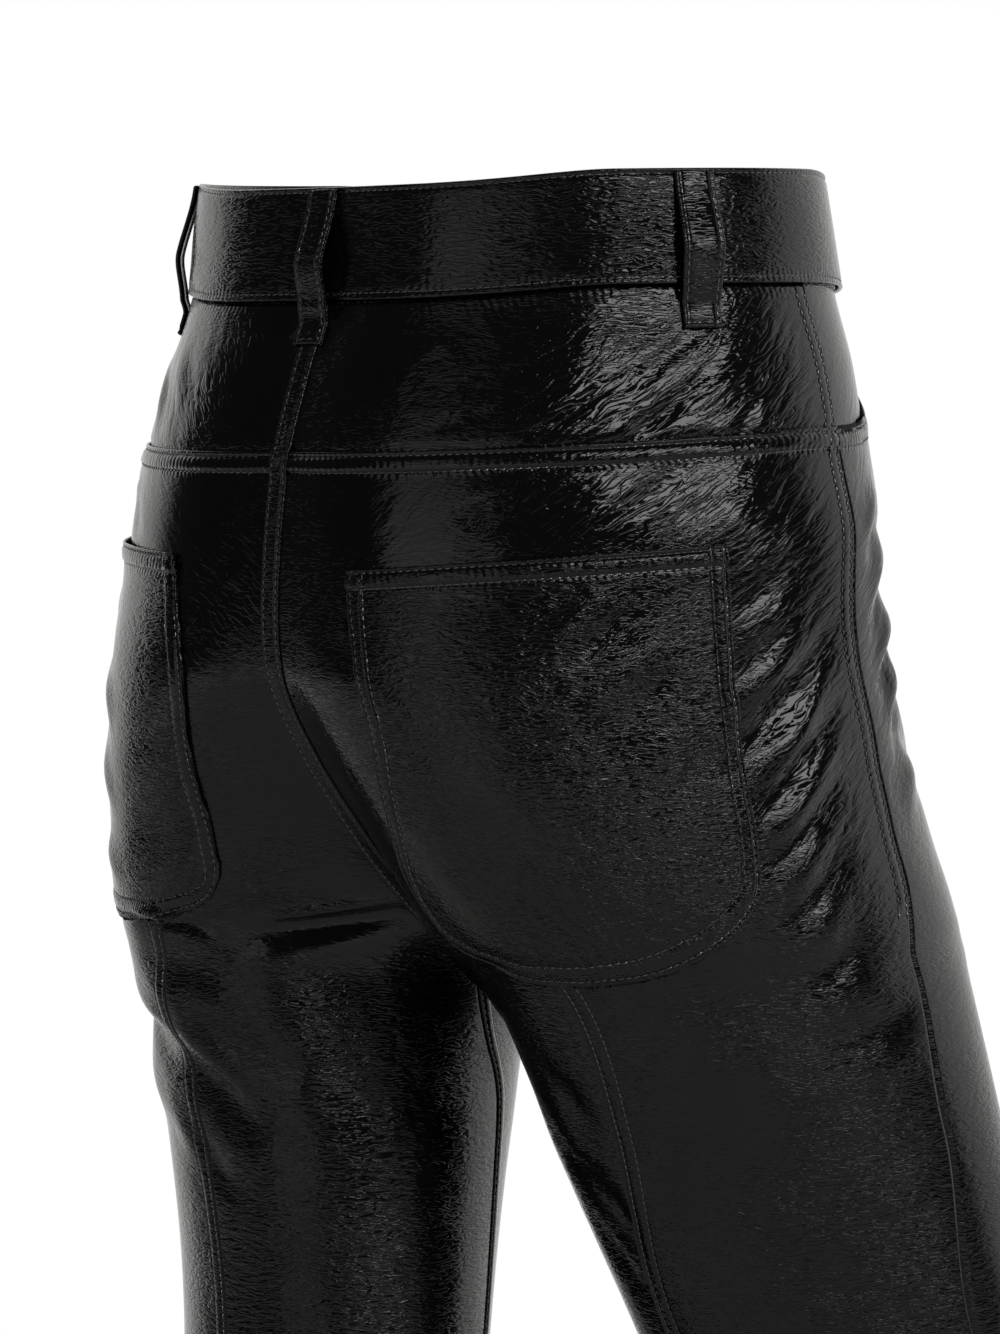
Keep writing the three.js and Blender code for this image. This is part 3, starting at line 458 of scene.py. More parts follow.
def grid_normals(points, toward):
    """Vertex normals of a net, pointing to the side that "toward" names."""
    across = np.gradient(points, axis=1)
    down = np.gradient(points, axis=0)
    normal = np.cross(across, down)
    normal /= np.maximum(np.linalg.norm(normal, axis=-1, keepdims=True), 1e-9)
    flip = np.sign(np.sum(normal * toward))
    return normal * flip, flip


def wall(name, points, toward, thickness, flat, finish, lined=True):
    """A closed wall of cloth over a net of points in millimetres. "flat" is where each point
    lies on the map, and "finish" is how strongly the crinkle, the puckers and the drag lines
    show there. A lined wall has the knit back on its inner face."""
    rows, cols = points.shape[:2]
    count = rows * cols
    normal, flip = grid_normals(points, toward)
    inner = points - normal * thickness
    verts = np.concatenate([points.reshape(-1, 3), inner.reshape(-1, 3)]) * MM
    ids = np.arange(count).reshape(rows, cols)
    quads = np.stack([ids[:-1, :-1], ids[:-1, 1:], ids[1:, 1:], ids[1:, :-1]],
                     axis=-1).reshape(-1, 4)
    rim = np.concatenate([ids[0, :-1], ids[:-1, -1], ids[-1, :0:-1], ids[:0:-1, 0]])
    after = np.roll(rim, -1)
    rims = np.stack([after, rim, rim + count, after + count], axis=1)
    if flip < 0:
        quads, rims = quads[:, ::-1], rims[:, ::-1]
    faces = np.concatenate([quads, quads[:, ::-1] + count, rims])
    slots = np.repeat([0, 1, 0], [len(quads), len(quads), len(rims)])

    def both_faces(parts):
        values = np.stack([np.broadcast_to(part, (rows, cols)) for part in parts], axis=-1)
        return np.concatenate([values.reshape(count, -1)] * 2)

    vinyl, backing = cloth_materials()
    return make_mesh(name, verts, faces, slots, both_faces(flat) * MM, both_faces(finish),
                     (vinyl, backing if lined else vinyl))


def make_mesh(name, verts, faces, slots, uv, finish, materials):
    """A smooth object of quads at the origin, in metres, with its map and its finish."""
    mesh = bpy.data.meshes.new(name)
    mesh.vertices.add(len(verts))
    mesh.vertices.foreach_set("co", np.asarray(verts, np.float32).ravel())
    mesh.loops.add(faces.size)
    mesh.loops.foreach_set("vertex_index", faces.astype(np.int32).ravel())
    mesh.polygons.add(len(faces))
    mesh.polygons.foreach_set("loop_start", np.arange(0, faces.size, 4, dtype=np.int32))
    mesh.polygons.foreach_set("material_index", slots.astype(np.int32))
    mesh.update(calc_edges=True)
    mesh.validate()
    mesh.polygons.foreach_set("use_smooth", np.ones(len(mesh.polygons), bool))
    index = np.empty(len(mesh.loops), np.int32)
    mesh.loops.foreach_get("vertex_index", index)
    layer = mesh.uv_layers.new(name="cloth_uv")
    layer.uv.foreach_set("vector", uv[index].astype(np.float32).ravel())
    data = mesh.attributes.new("finish", "FLOAT_VECTOR", "POINT")
    data.data.foreach_set("vector", finish.astype(np.float32).ravel())
    for material in materials:
        mesh.materials.append(material)
    return put(name, mesh)


def put(name, data):
    """A new object in the scene."""
    item = bpy.data.objects.new(name, data)
    bpy.context.scene.collection.objects.link(item)
    return item


# ---------------------------------------------------------------- sewn details

# how far in from an edge its rows of nodes lie, close together at its stitch rows
EDGE_FAN = [.25, .6, 1.0, 1.5, 1.9, 2.4, 3.2, 4.4, 5.8, 7.0, 7.6, 8.0, 8.5, 9.2, 10.5, 12.5]
PLAIN_FAN = [.25, .6, 1.2, 2.0, 3.2, 5.0]
DART_FAN = [.3, .7, 1.2, 1.8, 3.0, 4.4, 5.6, 6.3, 6.8, 7.4, 8.4, 10.5]
HEM_FAN = [.3, .8, 1.6, 3, 6, 10, 14, 18, 19.2, 20, 20.8, 22.5]


def groove(distance, at, depth=0.7, width=0.6):
    return -depth * np.exp(-((distance - at) / width) ** 2)


def rounded(distance, radius=0.8):
    """The roll of a folded edge."""
    short = np.clip(1 - distance / radius, 0, 1)
    return -radius * (1 - np.sqrt(1 - short ** 2))


def lapped(distance, lift=0.8, rows=(ROW_IN, ROW_OUT), puff=0.5):
    """A folded edge laid over its neighbour: a raised strip, two rows and the roll between."""
    first, second = rows
    strip = lift * (1 - smooth((distance - second + 0.6) / 2.2))
    between = np.clip((distance - first) / (second - first), 0, 1)
    roll = puff * np.sin(np.pi * between) ** 0.7
    rise = strip + roll + groove(distance, first) + groove(distance, second)
    return rise + rounded(distance)


def side_lap(distance):
    """The side seam at the hip: a flat lap with two shallow rows."""
    strip = .35 * (1 - smooth((distance - 6.8) / 2.2)) + .5 * rounded(distance)
    return strip + groove(distance, SIDE_ROWS[0], .3, .7) + groove(distance, SIDE_ROWS[1], .3, .7)


def beside_rows(distance, rows=(ROW_IN, ROW_OUT)):
    """The puckers that the sewing draws in: strong beside each row, weak between the two."""
    between = smooth((distance - rows[0]) / 1.5) * (1 - smooth((distance - rows[1]) / 1.5))
    near = sum(np.exp(-((distance - at) / 1.7) ** 2) for at in rows)
    return np.minimum(1, near + .3 * between)


def drag_share(side, angle, height):
    """Where the cloth is dragged into fine diagonal lines, at the hips."""
    share = np.zeros(np.broadcast(angle, height).shape)
    for s, a0, h0, wide, tall, much in [
            (RIGHT, 30, -66, 34, 26, 1.0), (RIGHT, 32, -104, 34, 18, 1.0),
            (RIGHT, 8, -60, 22, 44, 1.0), (RIGHT, 10, -112, 22, 30, .9),
            (RIGHT, 6, -190, 20, 84, 1.0), (RIGHT, 34, -148, 16, 24, .7),
            (RIGHT, -30, -150, 30, 90, .8), (LEFT, 22, -66, 30, 44, 1.0),
            (LEFT, 30, -112, 26, 26, .8), (LEFT, 38, -200, 24, 70, .9),
            (LEFT, -34, -170, 30, 90, .8), (LEFT, 84, -38, 20, 18, .8),
            (LEFT, 68, -64, 22, 30, .8), (LEFT, 90, -140, 18, 44, .6)]:
        if s == side:
            far = ((angle - a0) / wide) ** 2 + ((height - h0) / tall) ** 2
            share = np.maximum(share, much * np.exp(-far * 1.2))
    return share


# ---------------------------------------------------------------- rows of the nets


def heights_down(top, bottom, fan_top, fan_bottom, fine=2.1, coarse=7.0, split=-470):
    """Heights from top to bottom: a fan at both ends, fine over the seat, coarser below."""
    upper = top - np.concatenate([[0], fan_top])
    lower = (bottom + np.concatenate([[0], fan_bottom]))[::-1]
    middle = []
    level = upper[-1]
    while level > lower[0] + fine:
        step = fine + (coarse - fine) * smooth((split + 40 - level) / 80)
        step *= 1 - .5 * math.exp(-((level - SEAT_FOLD) / 13) ** 2)
        level -= float(step)
        middle.append(level)
    middle = np.array(middle)
    middle = upper[-1] + (middle - upper[-1]) * (lower[0] - upper[-1]) / (
        middle[-1] - upper[-1])
    rows = np.concatenate([upper, middle[:-1], lower])
    nearest = np.abs(rows - CROTCH).argmin()
    if abs(rows[nearest] - CROTCH) < 1:
        rows[nearest] = CROTCH  # the row in which the two halves part
    return rows


def yoke_height(angle):
    return mix(YOKE_SIDE, YOKE_BACK, np.maximum(0, np.sin(np.radians(angle))))


def band_dip(angle):
    around = np.sin(np.radians(angle))
    return -4.5 * smooth((around - .55) / .45) - 6 * smooth((-around - .3) / .7)


def band_bottom(angle):
    return -BAND_HEIGHT / 2 + band_dip(angle)


def on_leg(height):
    """0 on the seat and 1 on the leg, where the crinkle is stronger."""
    return smooth((-150 - height) / 120)


def on_inseam(height):
    """0 at the middle plane and 1 below the crotch."""
    return smooth((CROTCH - 2 - height) / 6)


def tucked(below_band):
    """The seam allowance goes down behind the band."""
    return -1.5 * smooth((1.6 - below_band) / 2.4)


def hem_lift(above):
    """The turned-up hem: one more layer, up to its single stitch row."""
    layer = .7 * (1 - smooth((above - HEM_ROW) / 2))
    return layer + groove(above, HEM_ROW, .3) + rounded(above)


def meet(side, column, angle, height, points, toward):
    """Keeps the nodes of an inner edge on the middle plane, where the two halves meet."""
    edge = form(side, angle[:, column], height[:, column])
    closed = (height[:, column] >= CROTCH) & (np.abs(edge[:, 0]) < .05)
    points[closed, column, 0] = toward[closed, column, 0] = 0


def back_panel(name, side, heights, darts, fans, steps, height_at, lift_at, finish_at):
    """A panel from the side seam in to the middle plane or the inseam. The last three arguments
    give each node's height, its lift, and how its crinkle and puckers show."""
    def edges(z):
        return side_seam(side, z) + .05, inner_edge(side, z, 1)

    start, end = edges(heights)
    t, lengths = arcs(side, start, end, heights)
    marks = [np.zeros_like(heights)]
    for dart_at in darts:
        share = (dart_at(side, heights) - start) / (end - start)
        marks.append(np.stack([np.interp(s, t, row) for s, row in zip(share, lengths)]))
    marks.append(lengths[:, -1])
    distance = columns(marks, fans, steps)
    share = angles_at(t, lengths, distance)
    angle = start[:, None] + share * (end - start)[:, None]
    height = height_at(angle, heights[:, None])
    low, high = edges(height)
    angle = low + share * (high - low)
    marks = [m[:, None] for m in marks]
    points = cloth(side, angle, height, lift_at(angle, height, distance, marks))
    toward = outward(side, angle, height)
    meet(side, -1, angle, height, points, toward)
    finish = (*finish_at(angle, height, distance, marks), drag_share(side, angle, height))
    flat = distance + MAP_STEP * len(name), height
    return wall(name, points, toward, PANEL_WALL, flat, finish)


def back_leg(side):
    """One back leg, with its lapped yoke edge, side seam rows, dart seam and inseam."""
    top = YOKE_BACK

    def height(angle, level):
        over = yoke_height(angle) + .6 - top
        return level + over * (1 - smooth((top - level) / 50))

    def lift(angle, z, d, marks):
        side_rows = smooth((z - SIDE_ROWS_END) / 6)
        at_seam = .35 * (1 - smooth(d / 1.2))
        at_side = side_lap(d) * side_rows - at_seam * (1 - side_rows)
        from_dart = d - marks[1]
        strip = .5 * smooth((from_dart + 8.4) / 1.6) * (1 - smooth((from_dart + .4) / .8))
        dart = strip + groove(-from_dart, DART_ROWS[0]) + groove(-from_dart, DART_ROWS[1])
        dart = dart + groove(from_dart, .3, .7, .5)
        below = smooth((DART_TOP - z) / 12)
        at_yoke = lapped(yoke_height(angle) + .6 - z, 1.0)
        at_inner = -.5 * (1 - smooth((marks[2] - d) / 1.4)) * on_inseam(z)
        return at_side + dart * below + at_yoke + at_inner + hem_lift(z - HEM[side])

    def finish(angle, z, d, marks):
        under = yoke_height(angle) - z
        on_yoke = beside_rows(under + .6) * smooth((under + .5) / 1)
        leg = on_leg(z)
        calm = smooth((d - 2) / 8)
        tight = np.exp(-((angle - 62) / 30) ** 2 - ((z + 105) / 26) ** 2)
        smoother = .35 * (1 - leg) * (1 - smooth((marks[2] - d - 20) / 45))
        if side == LEFT:  # the fold under the seat
            smoother = smoother + .85 * np.exp(-((angle - 134) / 36) ** 2
                                               - ((z + 275) / 10) ** 4)
        grain = (.7 + .5 * leg) * (1 - .5 * on_yoke) * (.6 + .4 * calm)
        return grain * (1 - .3 * tight - smoother), on_yoke

    return back_panel(f"back_leg_cloth_{WORD[side]}", side,
                      heights_down(top, HEM[side], EDGE_FAN, HEM_FAN), [dart_seam],
                      [EDGE_FAN, DART_FAN, PLAIN_FAN], [30, 26], height, lift, finish)


def yoke(side):
    """One half of the back yoke."""
    top, bottom = -BAND_HEIGHT / 2, YOKE_BACK
    share = np.concatenate([[0, .004, .012, .025, .04], np.linspace(.06, .95, 38),
                            [.965, .98, .99, 1]])
    levels = np.concatenate([top + np.array(TUCK), mix(top, bottom, share)])

    def height(angle, level):
        down = (level - top) / (bottom - top)
        inside = np.maximum(level - top, 0)
        return mix(band_bottom(angle) - .2, yoke_height(angle) - 1.2,
                   np.maximum(down, 0)) + inside

    def lift(angle, z, d, marks):
        under = yoke_height(angle) - 1.2 - z
        return (side_lap(d) - .9 * smooth((under + 5) / 3.5)
                + tucked(band_bottom(angle) - z))

    def finish(angle, z, d, marks):
        near = 1 - smooth((z - yoke_height(angle)) / 4)
        top_gather = 1 - smooth((band_bottom(angle) - z) / 9)
        return .85 * (.6 + .4 * smooth((d - 2) / 8)), np.maximum(near * .5, .7 * top_gather)

    return back_panel(f"yoke_cloth_{WORD[side]}", side, levels, [], [EDGE_FAN, PLAIN_FAN], [88],
                      height, lift, finish)


# the heights at whose girth the front pocket's mouth, the patch pocket and the fly are laid flat
MOUTH_FLAT, PATCH_FLAT, FLY_FLAT = -60, -200, -80


def scoop_point(side, turned):
    """The front pocket's mouth, from the side seam (0) up to the waistband (90 degrees)."""
    power = 2 / SCOOP_ROUND
    forward = SCOOP_REACH * np.sin(turned) ** power
    up = SCOOP_DROP * (1 - np.cos(turned) ** power)
    return side_seam(side, YOKE_SIDE) - forward, YOKE_SIDE + up


def front_leg(side):
    """One front leg. Its outer edge follows the pocket's mouth, and then the side seam."""
    turned = np.radians(90) * np.linspace(1, 0, 46) ** 1.2
    mouth_angle, mouth_height = scoop_point(side, turned)
    lower = heights_down(YOKE_SIDE, HEM[side], [1.6, 3.4], HEM_FAN)[1:]
    top = mouth_height[0]
    levels = np.concatenate([top + np.array(TUCK), mouth_height, lower])
    on_mouth = np.interp(levels, mouth_height[::-1], mouth_angle[::-1])
    end = (np.where(levels >= YOKE_SIDE, on_mouth, side_seam(side, levels) - .05)
           + UNDERLAP * smooth((YOKE_SIDE + 4 - levels) / 8))
    start = inner_edge(side, levels, -1)
    t, lengths = arcs(side, start, end, levels)
    marks = [np.zeros_like(levels), lengths[:, -1]]
    distance = columns(marks, [EDGE_FAN, EDGE_FAN], [58])
    share = angles_at(t, lengths, distance)
    angle = start[:, None] + share * (end - start)[:, None]
    blend = 1 - smooth((top - levels) / 40)
    level = np.minimum(levels, top)[:, None]
    height = level + (band_bottom(angle) - .2 - top) * blend[:, None]
    height = height + np.maximum(levels - top, 0)[:, None]
    inner = inner_edge(side, height, -1)
    angle = angle + (inner - start[:, None]) * (1 - share)

    # the distance to the mouth's own curve, in millimetres of cloth
    g = flat_scale(MOUTH_FLAT)
    curve = np.stack([mouth_angle * g, mouth_height], axis=-1)
    flat = np.stack([angle * g, levels[:, None] + 0 * angle], axis=-1)
    to_mouth = np.full(angle.shape, 99.0)
    near = height > YOKE_SIDE - 16
    gaps = np.linalg.norm(flat[near][:, None] - curve[None], axis=-1)
    to_mouth[near] = gaps.min(axis=1)

    to_side = marks[1][:, None] - distance
    on_mouth = smooth((height - YOKE_SIDE + 12) / 10)
    inseam = on_inseam(height)
    lift = (lapped(to_mouth, .35, MOUTH_ROWS, .3) * (height > YOKE_SIDE - 14)
            - 1.75 * (1 - smooth((to_side - 2.8) / 1.3)) * (1 - on_mouth)
            + lapped(distance, .6, INSEAM_ROWS, .25) * inseam
            - .35 * (1 - smooth(distance / 1.2)) * (1 - inseam)
            + tucked(band_bottom(angle) - height) + hem_lift(height - HEM[side]))
    points, toward = cloth(side, angle, height, lift), outward(side, angle, height)
    meet(side, 0, angle, height, points, toward)
    grain = (.7 + .3 * on_leg(height)) * (.6 + .4 * smooth((to_side - 1) / 8))
    finish = grain, beside_rows(to_mouth, MOUTH_ROWS), drag_share(side, angle, height)
    return wall(f"front_leg_cloth_{WORD[side]}", points, toward, PANEL_WALL,
                (distance + MAP_START["front_leg"], height), finish)


def hip_piece(side):
    """The hip piece inside the front pocket's mouth, one layer down."""
    lowest, top = YOKE_SIDE - 13, -BAND_HEIGHT / 2
    levels = np.concatenate([top + np.array(TUCK), np.linspace(top, lowest, 44)])
    down = np.maximum(0, (levels - top) / (lowest - top))
    back = side_seam(side, levels) - .3
    front = mix(side_seam(side, YOKE_SIDE) - SCOOP_REACH - 6, back - 14, down ** 3)
    angle = front[:, None] + (back - front)[:, None] * np.linspace(0, 1, 50)
    height = mix(band_bottom(angle) - .4, lowest, down[:, None])
    height = height + np.maximum(levels - top, 0)[:, None]
    g = flat_scale(MOUTH_FLAT)
    to_side = (back[:, None] - angle) * g
    points = cloth(side, angle, height, -1.5 - .3 * (1 - smooth(to_side / 1.2)))
    return wall(f"hip_piece_cloth_{WORD[side]}", points, outward(side, angle, height), HIP_WALL,
                (angle * g + MAP_START["hip_piece"], height),
                (.5, 0, drag_share(side, angle, height)))


# ---------------------------------------------------------------- the patch pocket


def pocket_node(side, level, across):
    """A point of the pocket from its own level and its share across, outer (0) to inner (1)."""
    slope, edges = POCKETS[side]
    top, bottom = edges[0][0], edges[-1][0]
    angle = mix(pocket_edge[side](level, 1), pocket_edge[side](level, 0), across)
    return angle, level - slope * across * (1 - (top - level) / (top - bottom))


def pocket_outline(side, inset=0.0):
    """The pocket's sewn edge from the mouth's outer end round to its inner end, in degrees
    and millimetres, moved in by a distance."""
    slope, edges = POCKETS[side]
    top, bottom = edges[0][0], edges[-1][0]
    levels = mix(top, bottom, np.sin(np.linspace(0, np.pi / 2, 120)))
    a0, h0 = pocket_node(side, levels, 0.0)
    a1, h1 = pocket_node(side, levels, 1.0)
    angle, height = np.concatenate([a0, a1[::-1]]), np.concatenate([h0, h1[::-1]])
    g = flat_scale(PATCH_FLAT)
    flat = np.stack([angle * g, height], axis=-1)
    steps = np.concatenate([[0], np.cumsum(np.linalg.norm(np.diff(flat, axis=0), axis=1))])
    even = np.linspace(0, steps[-1], 260)
    flat = np.stack([np.interp(even, steps, flat[:, k]) for k in (0, 1)], axis=-1)
    soft = flat.copy()
    for _ in range(6):
        soft[1:-1] = (soft[:-2] + 2 * soft[1:-1] + soft[2:]) / 4
    if inset:
        along = np.gradient(soft, axis=0)
        along /= np.linalg.norm(along, axis=1, keepdims=True)
        soft = soft + np.stack([-along[:, 1], along[:, 0]], axis=-1) * inset
        ceiling = np.interp(soft[:, 0] / g, edges[0][:0:-1], [top, top - slope])
        soft = soft[soft[:, 1] < ceiling - 1.0]
    return soft[:, 0] / g, soft[:, 1], g


def back_pocket(side):
    """One back pocket: a hemmed mouth, and two rows all round its folded edge."""
    top, bottom = POCKETS[side][1][0][0], POCKETS[side][1][-1][0]
    fan = np.array([0, .25, .6, 1.0, 1.4, 1.8, 2.3, 3.2, 4.6, 6, 7, 7.6, 8.1, 8.7, 9.6, 11])
    down = np.concatenate([fan / (top - bottom), np.linspace(.09, .90, 70),
                           .90 + .10 * np.sin(np.linspace(0, np.pi / 2, 26)[1:])])
    level = top - down * (top - bottom)
    wide = 165.0  # near enough to lay out the edge's rows
    edge = np.array([0, .25, .6, 1.0, 1.4, 1.8, 2.3, 3.2, 4.6, 6, 6.9, 7.5, 8.1, 9, 10.5])
    across = fanned(edge / wide, 0, 1, 72)
    angle, height = pocket_node(side, level[:, None], across[None])
    rim_angle, rim_height, g = pocket_outline(side)
    rim = np.stack([rim_angle * g, rim_height], axis=-1)
    flat = np.stack([angle * g, height], axis=-1).reshape(-1, 2)
    away = np.concatenate([np.linalg.norm(part[:, None] - rim[None], axis=-1).min(axis=1)
                           for part in np.array_split(flat, 20)]).reshape(angle.shape)
    mouth = (top - level)[:, None] + 0 * angle
    lift = 1.7 + lapped(away, .25, PATCH_ROWS, .3) + lapped(mouth, .45, PATCH_MOUTH_ROWS, .35)
    gape = 1.2 * np.exp(-(mouth / 9) ** 2) * np.sin(np.pi * across[None]) ** 2
    points = cloth(side, angle, height, lift + gape)
    on_mouth = beside_rows(mouth, PATCH_MOUTH_ROWS)
    on_edge = 1 - smooth((away - 7) / 3)
    grain = 1.25 * (1 - .45 * on_mouth) * (1 - .25 * on_edge)
    low = smooth((bottom + 32 - height) / 20) * beside_rows(away, PATCH_ROWS)
    finish = grain, np.maximum(on_mouth, low), drag_share(side, angle, height)
    return wall(f"back_pocket_cloth_{WORD[side]}", points, outward(side, angle, height),
                PATCH_WALL, (angle * g + MAP_START["back_pocket"], height), finish)


# ---------------------------------------------------------------- waistband, loops, fly


def band_place(around, row, end, lift):
    """A point of the waistband: degrees round from the front, share down, share along."""
    turned = np.mod(around, 360)
    left = turned < 180
    share = np.where(left, turned / 180, (360 - turned) / 180)
    level = mix(BAND_HEIGHT / 2, -BAND_HEIGHT / 2, row)
    limit = centre_angle(level)
    angle = mix(-limit, limit, share)
    past_lap = (end * (360 + BAND_OVERLAP) - BAND_OVERLAP) / BAND_STEP
    steps = (BAND_WALL + .5) * (1 - smooth(past_lap))
    height = level + band_dip(angle)
    return (*either_half(left, angle, height, lift + steps, BAND_FOLDS), height)


def band_turn(end):
    """Degrees round from the front to a share along the waistband."""
    return -BAND_OVERLAP / 2 + (360 + BAND_OVERLAP) * end


def waistband():
    """The waistband goes once round, and its left end laps over the right one."""
    down = fanned([0, .25, .55, .9, 1.4, 2.0, 2.6, 3.4], 0, BAND_HEIGHT, 18, 5) / BAND_HEIGHT
    end = fanned(np.array([0, .3, .7, 1.2, 1.8, 2.4, 3.2]) / BAND_GIRTH, 0, 1, 468)
    around = band_turn(end)
    drop = down[:, None] * BAND_HEIGHT + 0 * end[None]
    tip = np.minimum(end, 1 - end)[None] * BAND_GIRTH + 0 * drop
    lift = BAND_PROUD + rounded(drop) + rounded(BAND_HEIGHT - drop) + rounded(tip)
    lift = lift + groove(drop, BAND_ROW) + groove(drop, BAND_HEIGHT - BAND_LOW_ROW, .5)
    lift = lift + groove(tip, BAND_ROW)
    belly = np.sin(np.pi * drop / BAND_HEIGHT)
    wave = .35 * np.sin(np.radians(around * 9 + 40))[None] * belly
    grid = np.broadcast_to(around[None], drop.shape)
    points, toward, height = band_place(grid, down[:, None] + 0 * grid, end[None] + 0 * grid,
                                        lift + belly * .5 + wave)
    pucker = (.8 * np.exp(-((BAND_HEIGHT - BAND_LOW_ROW - drop) / 2.2) ** 2)
              + .4 * np.exp(-((drop - BAND_ROW) / 1.6) ** 2))
    flat = grid * BAND_DEGREE + MAP_START["waistband"], height
    return wall("waistband_cloth", points, toward, BAND_WALL, flat, (.9, pucker, 0), lined=False)


def loop_place(side, angle, standoff, row, across, lift):
    """A point of a belt loop: sewn at the band's top and on the yoke, and bowed between."""
    level = mix(LOOP_TOP, LOOP_BELOW, row)
    bow = smooth((LOOP_TOP - level) / 33) * smooth((level - LOOP_SEWN) / 25)
    on_band = BAND_PROUD * smooth((level - LOOP_SEWN) / 6)
    rise = .4 + on_band + bow * standoff + lift
    if angle is None:
        height = level - 4.5
        return either_half(across >= 0, centre_angle(height, np.abs(across)), height, rise, 0)
    height = level + band_dip(angle)
    turned = angle + across / cloth_per_degree(side, angle, height)
    return cloth(side, turned, height, rise, .5), outward(side, turned, height)


def belt_loop(word, side, angle, standoff):
    """One belt loop, folded from a strip, with a row along each edge."""
    fan = [0, .15, .4, .75, 1.1, 1.5, 1.9, 2.5]
    half, tall = LOOP_WIDTH / 2, LOOP_TOP - LOOP_BELOW
    rows, cols = np.meshgrid(fanned(fan, 0, tall, 54, 3.4) / tall,
                             fanned(fan, -half, half, 9, 3.2), indexing="ij")
    edge, foot = half - np.abs(cols), (1 - rows) * tall
    lift = 1.8 + rounded(edge, 1.0) + groove(edge, LOOP_ROW, .5) + groove(foot, 2.0, .5)
    lift = lift + rounded(foot, 1.0) + rounded(rows * tall, 1.0) + .45 * np.cos(cols / half * 1.5)
    points, toward = loop_place(side, angle, standoff, rows, cols, lift)
    return wall(f"belt_loop_cloth_{word}", points, toward, LOOP_WALL,
                (cols + MAP_START["belt_loop"] + LOOP_MAP_STEP * len(word), rows * tall),
                (.8, .3, 0), lined=False)


def fly_width(down):
    """The flap's width at a share of its length: even, and rounded off at the bottom."""
    return np.sqrt(np.maximum(.002, 1 - down ** 6))


def fly_flap():
    """The fly's flap on the left front, with a rounded lower corner."""
    top = float(band_bottom(np.float64(-86))) - .4
    down = np.sin(np.pi / 2 * np.concatenate([[0, .004, .01], np.linspace(.02, 1, 92)]))
    wide = FLY_WIDTH * fly_width(down)[:, None]
    share = fanned([0, .01, .03, .055], 0, 1, 22, .08)[None]
    g = flat_scale(FLY_FLAT)
    away = wide * share + .3
    height = (top - FLY_LENGTH * down)[:, None] + 0 * away
    angle = inner_edge(LEFT, height, -1) + away / g
    from_edge = wide * (1 - share)
    edge = np.minimum(np.minimum(from_edge, (height - (top - FLY_LENGTH)) * .9), away)
    lift = (1.6 + rounded(edge, .7) + groove(from_edge, FLY_ROWS[0])
            + groove(from_edge, FLY_ROWS[1]))
    return wall("fly_flap_cloth", cloth(LEFT, angle, height, lift), outward(LEFT, angle, height),
                FLAP_WALL, (angle * g + MAP_START["fly_flap"], height), (.5, .2, 0))


def centre_strip():
    """The felled strip that closes the centre back seam, from the waistband to the crotch."""
    tall = np.concatenate([[0, .6, 1.4], np.linspace(3, 258, 170)])
    across = fanned([0, .2, .45, .8, 1.2, 1.6, 2.1, 2.8], -STRIP_HALF, STRIP_HALF, 7, STRIP_ROW)
    height, across = np.broadcast_arrays((-25.5 - tall)[:, None], across[None])
    half = STRIP_HALF - np.abs(across)
    over_yoke = .9 * smooth((height - YOKE_BACK + 9.5) / 2) * (1 - smooth(
        (height - YOKE_BACK - .5) / 2))
    puff = .35 * np.sqrt(np.maximum(0, 1 - (across / STRIP_ROW) ** 2))
    lift = (1.0 + rounded(half, 1.0) + groove(half, STRIP_HALF - STRIP_ROW, .6, .55) + puff
            + over_yoke + tucked(-26.5 - height))
    angle = centre_angle(height, np.abs(across))
    points, toward = either_half(across >= 0, angle, height, lift)
    left, right = (cloth(side, angle, height, lift)[..., 1] for side in (LEFT, RIGHT))
    mixed = smooth((across + STRIP_HALF) / (2 * STRIP_HALF))
    points[..., 1] = left * mixed + right * (1 - mixed)
    return wall("centre_back_strip", points, toward, STRIP_WALL,
                (across + MAP_START["centre_strip"], height), (1.0, .25, 0), lined=False)


# ---------------------------------------------------------------- the button


def button_place():
    """The seat of the waist button on the band's outer face, and the way it looks."""
    seat = cloth(LEFT, -85.5, -6, BAND_PROUD + BAND_WALL + .5)
    seat[0] = 0
    toward = outward(LEFT, -85.5, -6)
    toward[0] = 0
    return seat, toward / np.linalg.norm(toward)


def waist_button(metal):
    """A tack button: a rolled rim, a dished face and a low dome, turned in one profile."""
    profile = [(0, 4.1), (1.6, 4.0), (3.2, 3.5), (4.1, 2.9), (4.5, 2.5), (4.9, 2.35),
               (5.9, 2.4), (6.5, 2.7), (6.9, 3.1), (7.4, 3.4), (7.9, 3.35), (8.3, 3.0),
               (8.5, 2.4), (8.5, 1.7), (8.2, 1.1), (7.6, .8), (6.4, .55), (4.6, .45),
               (4.2, .3), (4.0, 0), (0, 0)]
    steps = 64
    seat, toward = button_place()
    side = np.array([1.0, 0, 0])
    up = np.cross(toward, side)
    turn = np.linspace(0, 2 * np.pi, steps, endpoint=False)
    verts, rings = [], []
    for radius, out in profile:
        ring = (seat + toward * out + radius * (np.cos(turn)[:, None] * side
                                                + np.sin(turn)[:, None] * up))
        start = len(verts)
        verts += [tuple(v * MM) for v in (ring if radius else ring[:1])]
        rings.append([start + (i if radius else 0) for i in range(steps)])
    faces = [tuple(dict.fromkeys([ring[i], after[i], after[(i + 1) % steps],
                                  ring[(i + 1) % steps]]))
             for ring, after in zip(rings, rings[1:]) for i in range(steps)]
    mesh = bpy.data.meshes.new("tack_button")
    mesh.from_pydata(verts, [], faces)
    mesh.validate()
    shape = bmesh.new()
    shape.from_mesh(mesh)
    bmesh.ops.recalc_face_normals(shape, faces=shape.faces)
    shape.to_mesh(mesh)
    shape.free()
    mesh.polygons.foreach_set("use_smooth", np.ones(len(mesh.polygons), bool))
    mesh.materials.append(metal)
    return put("tack_button", mesh)


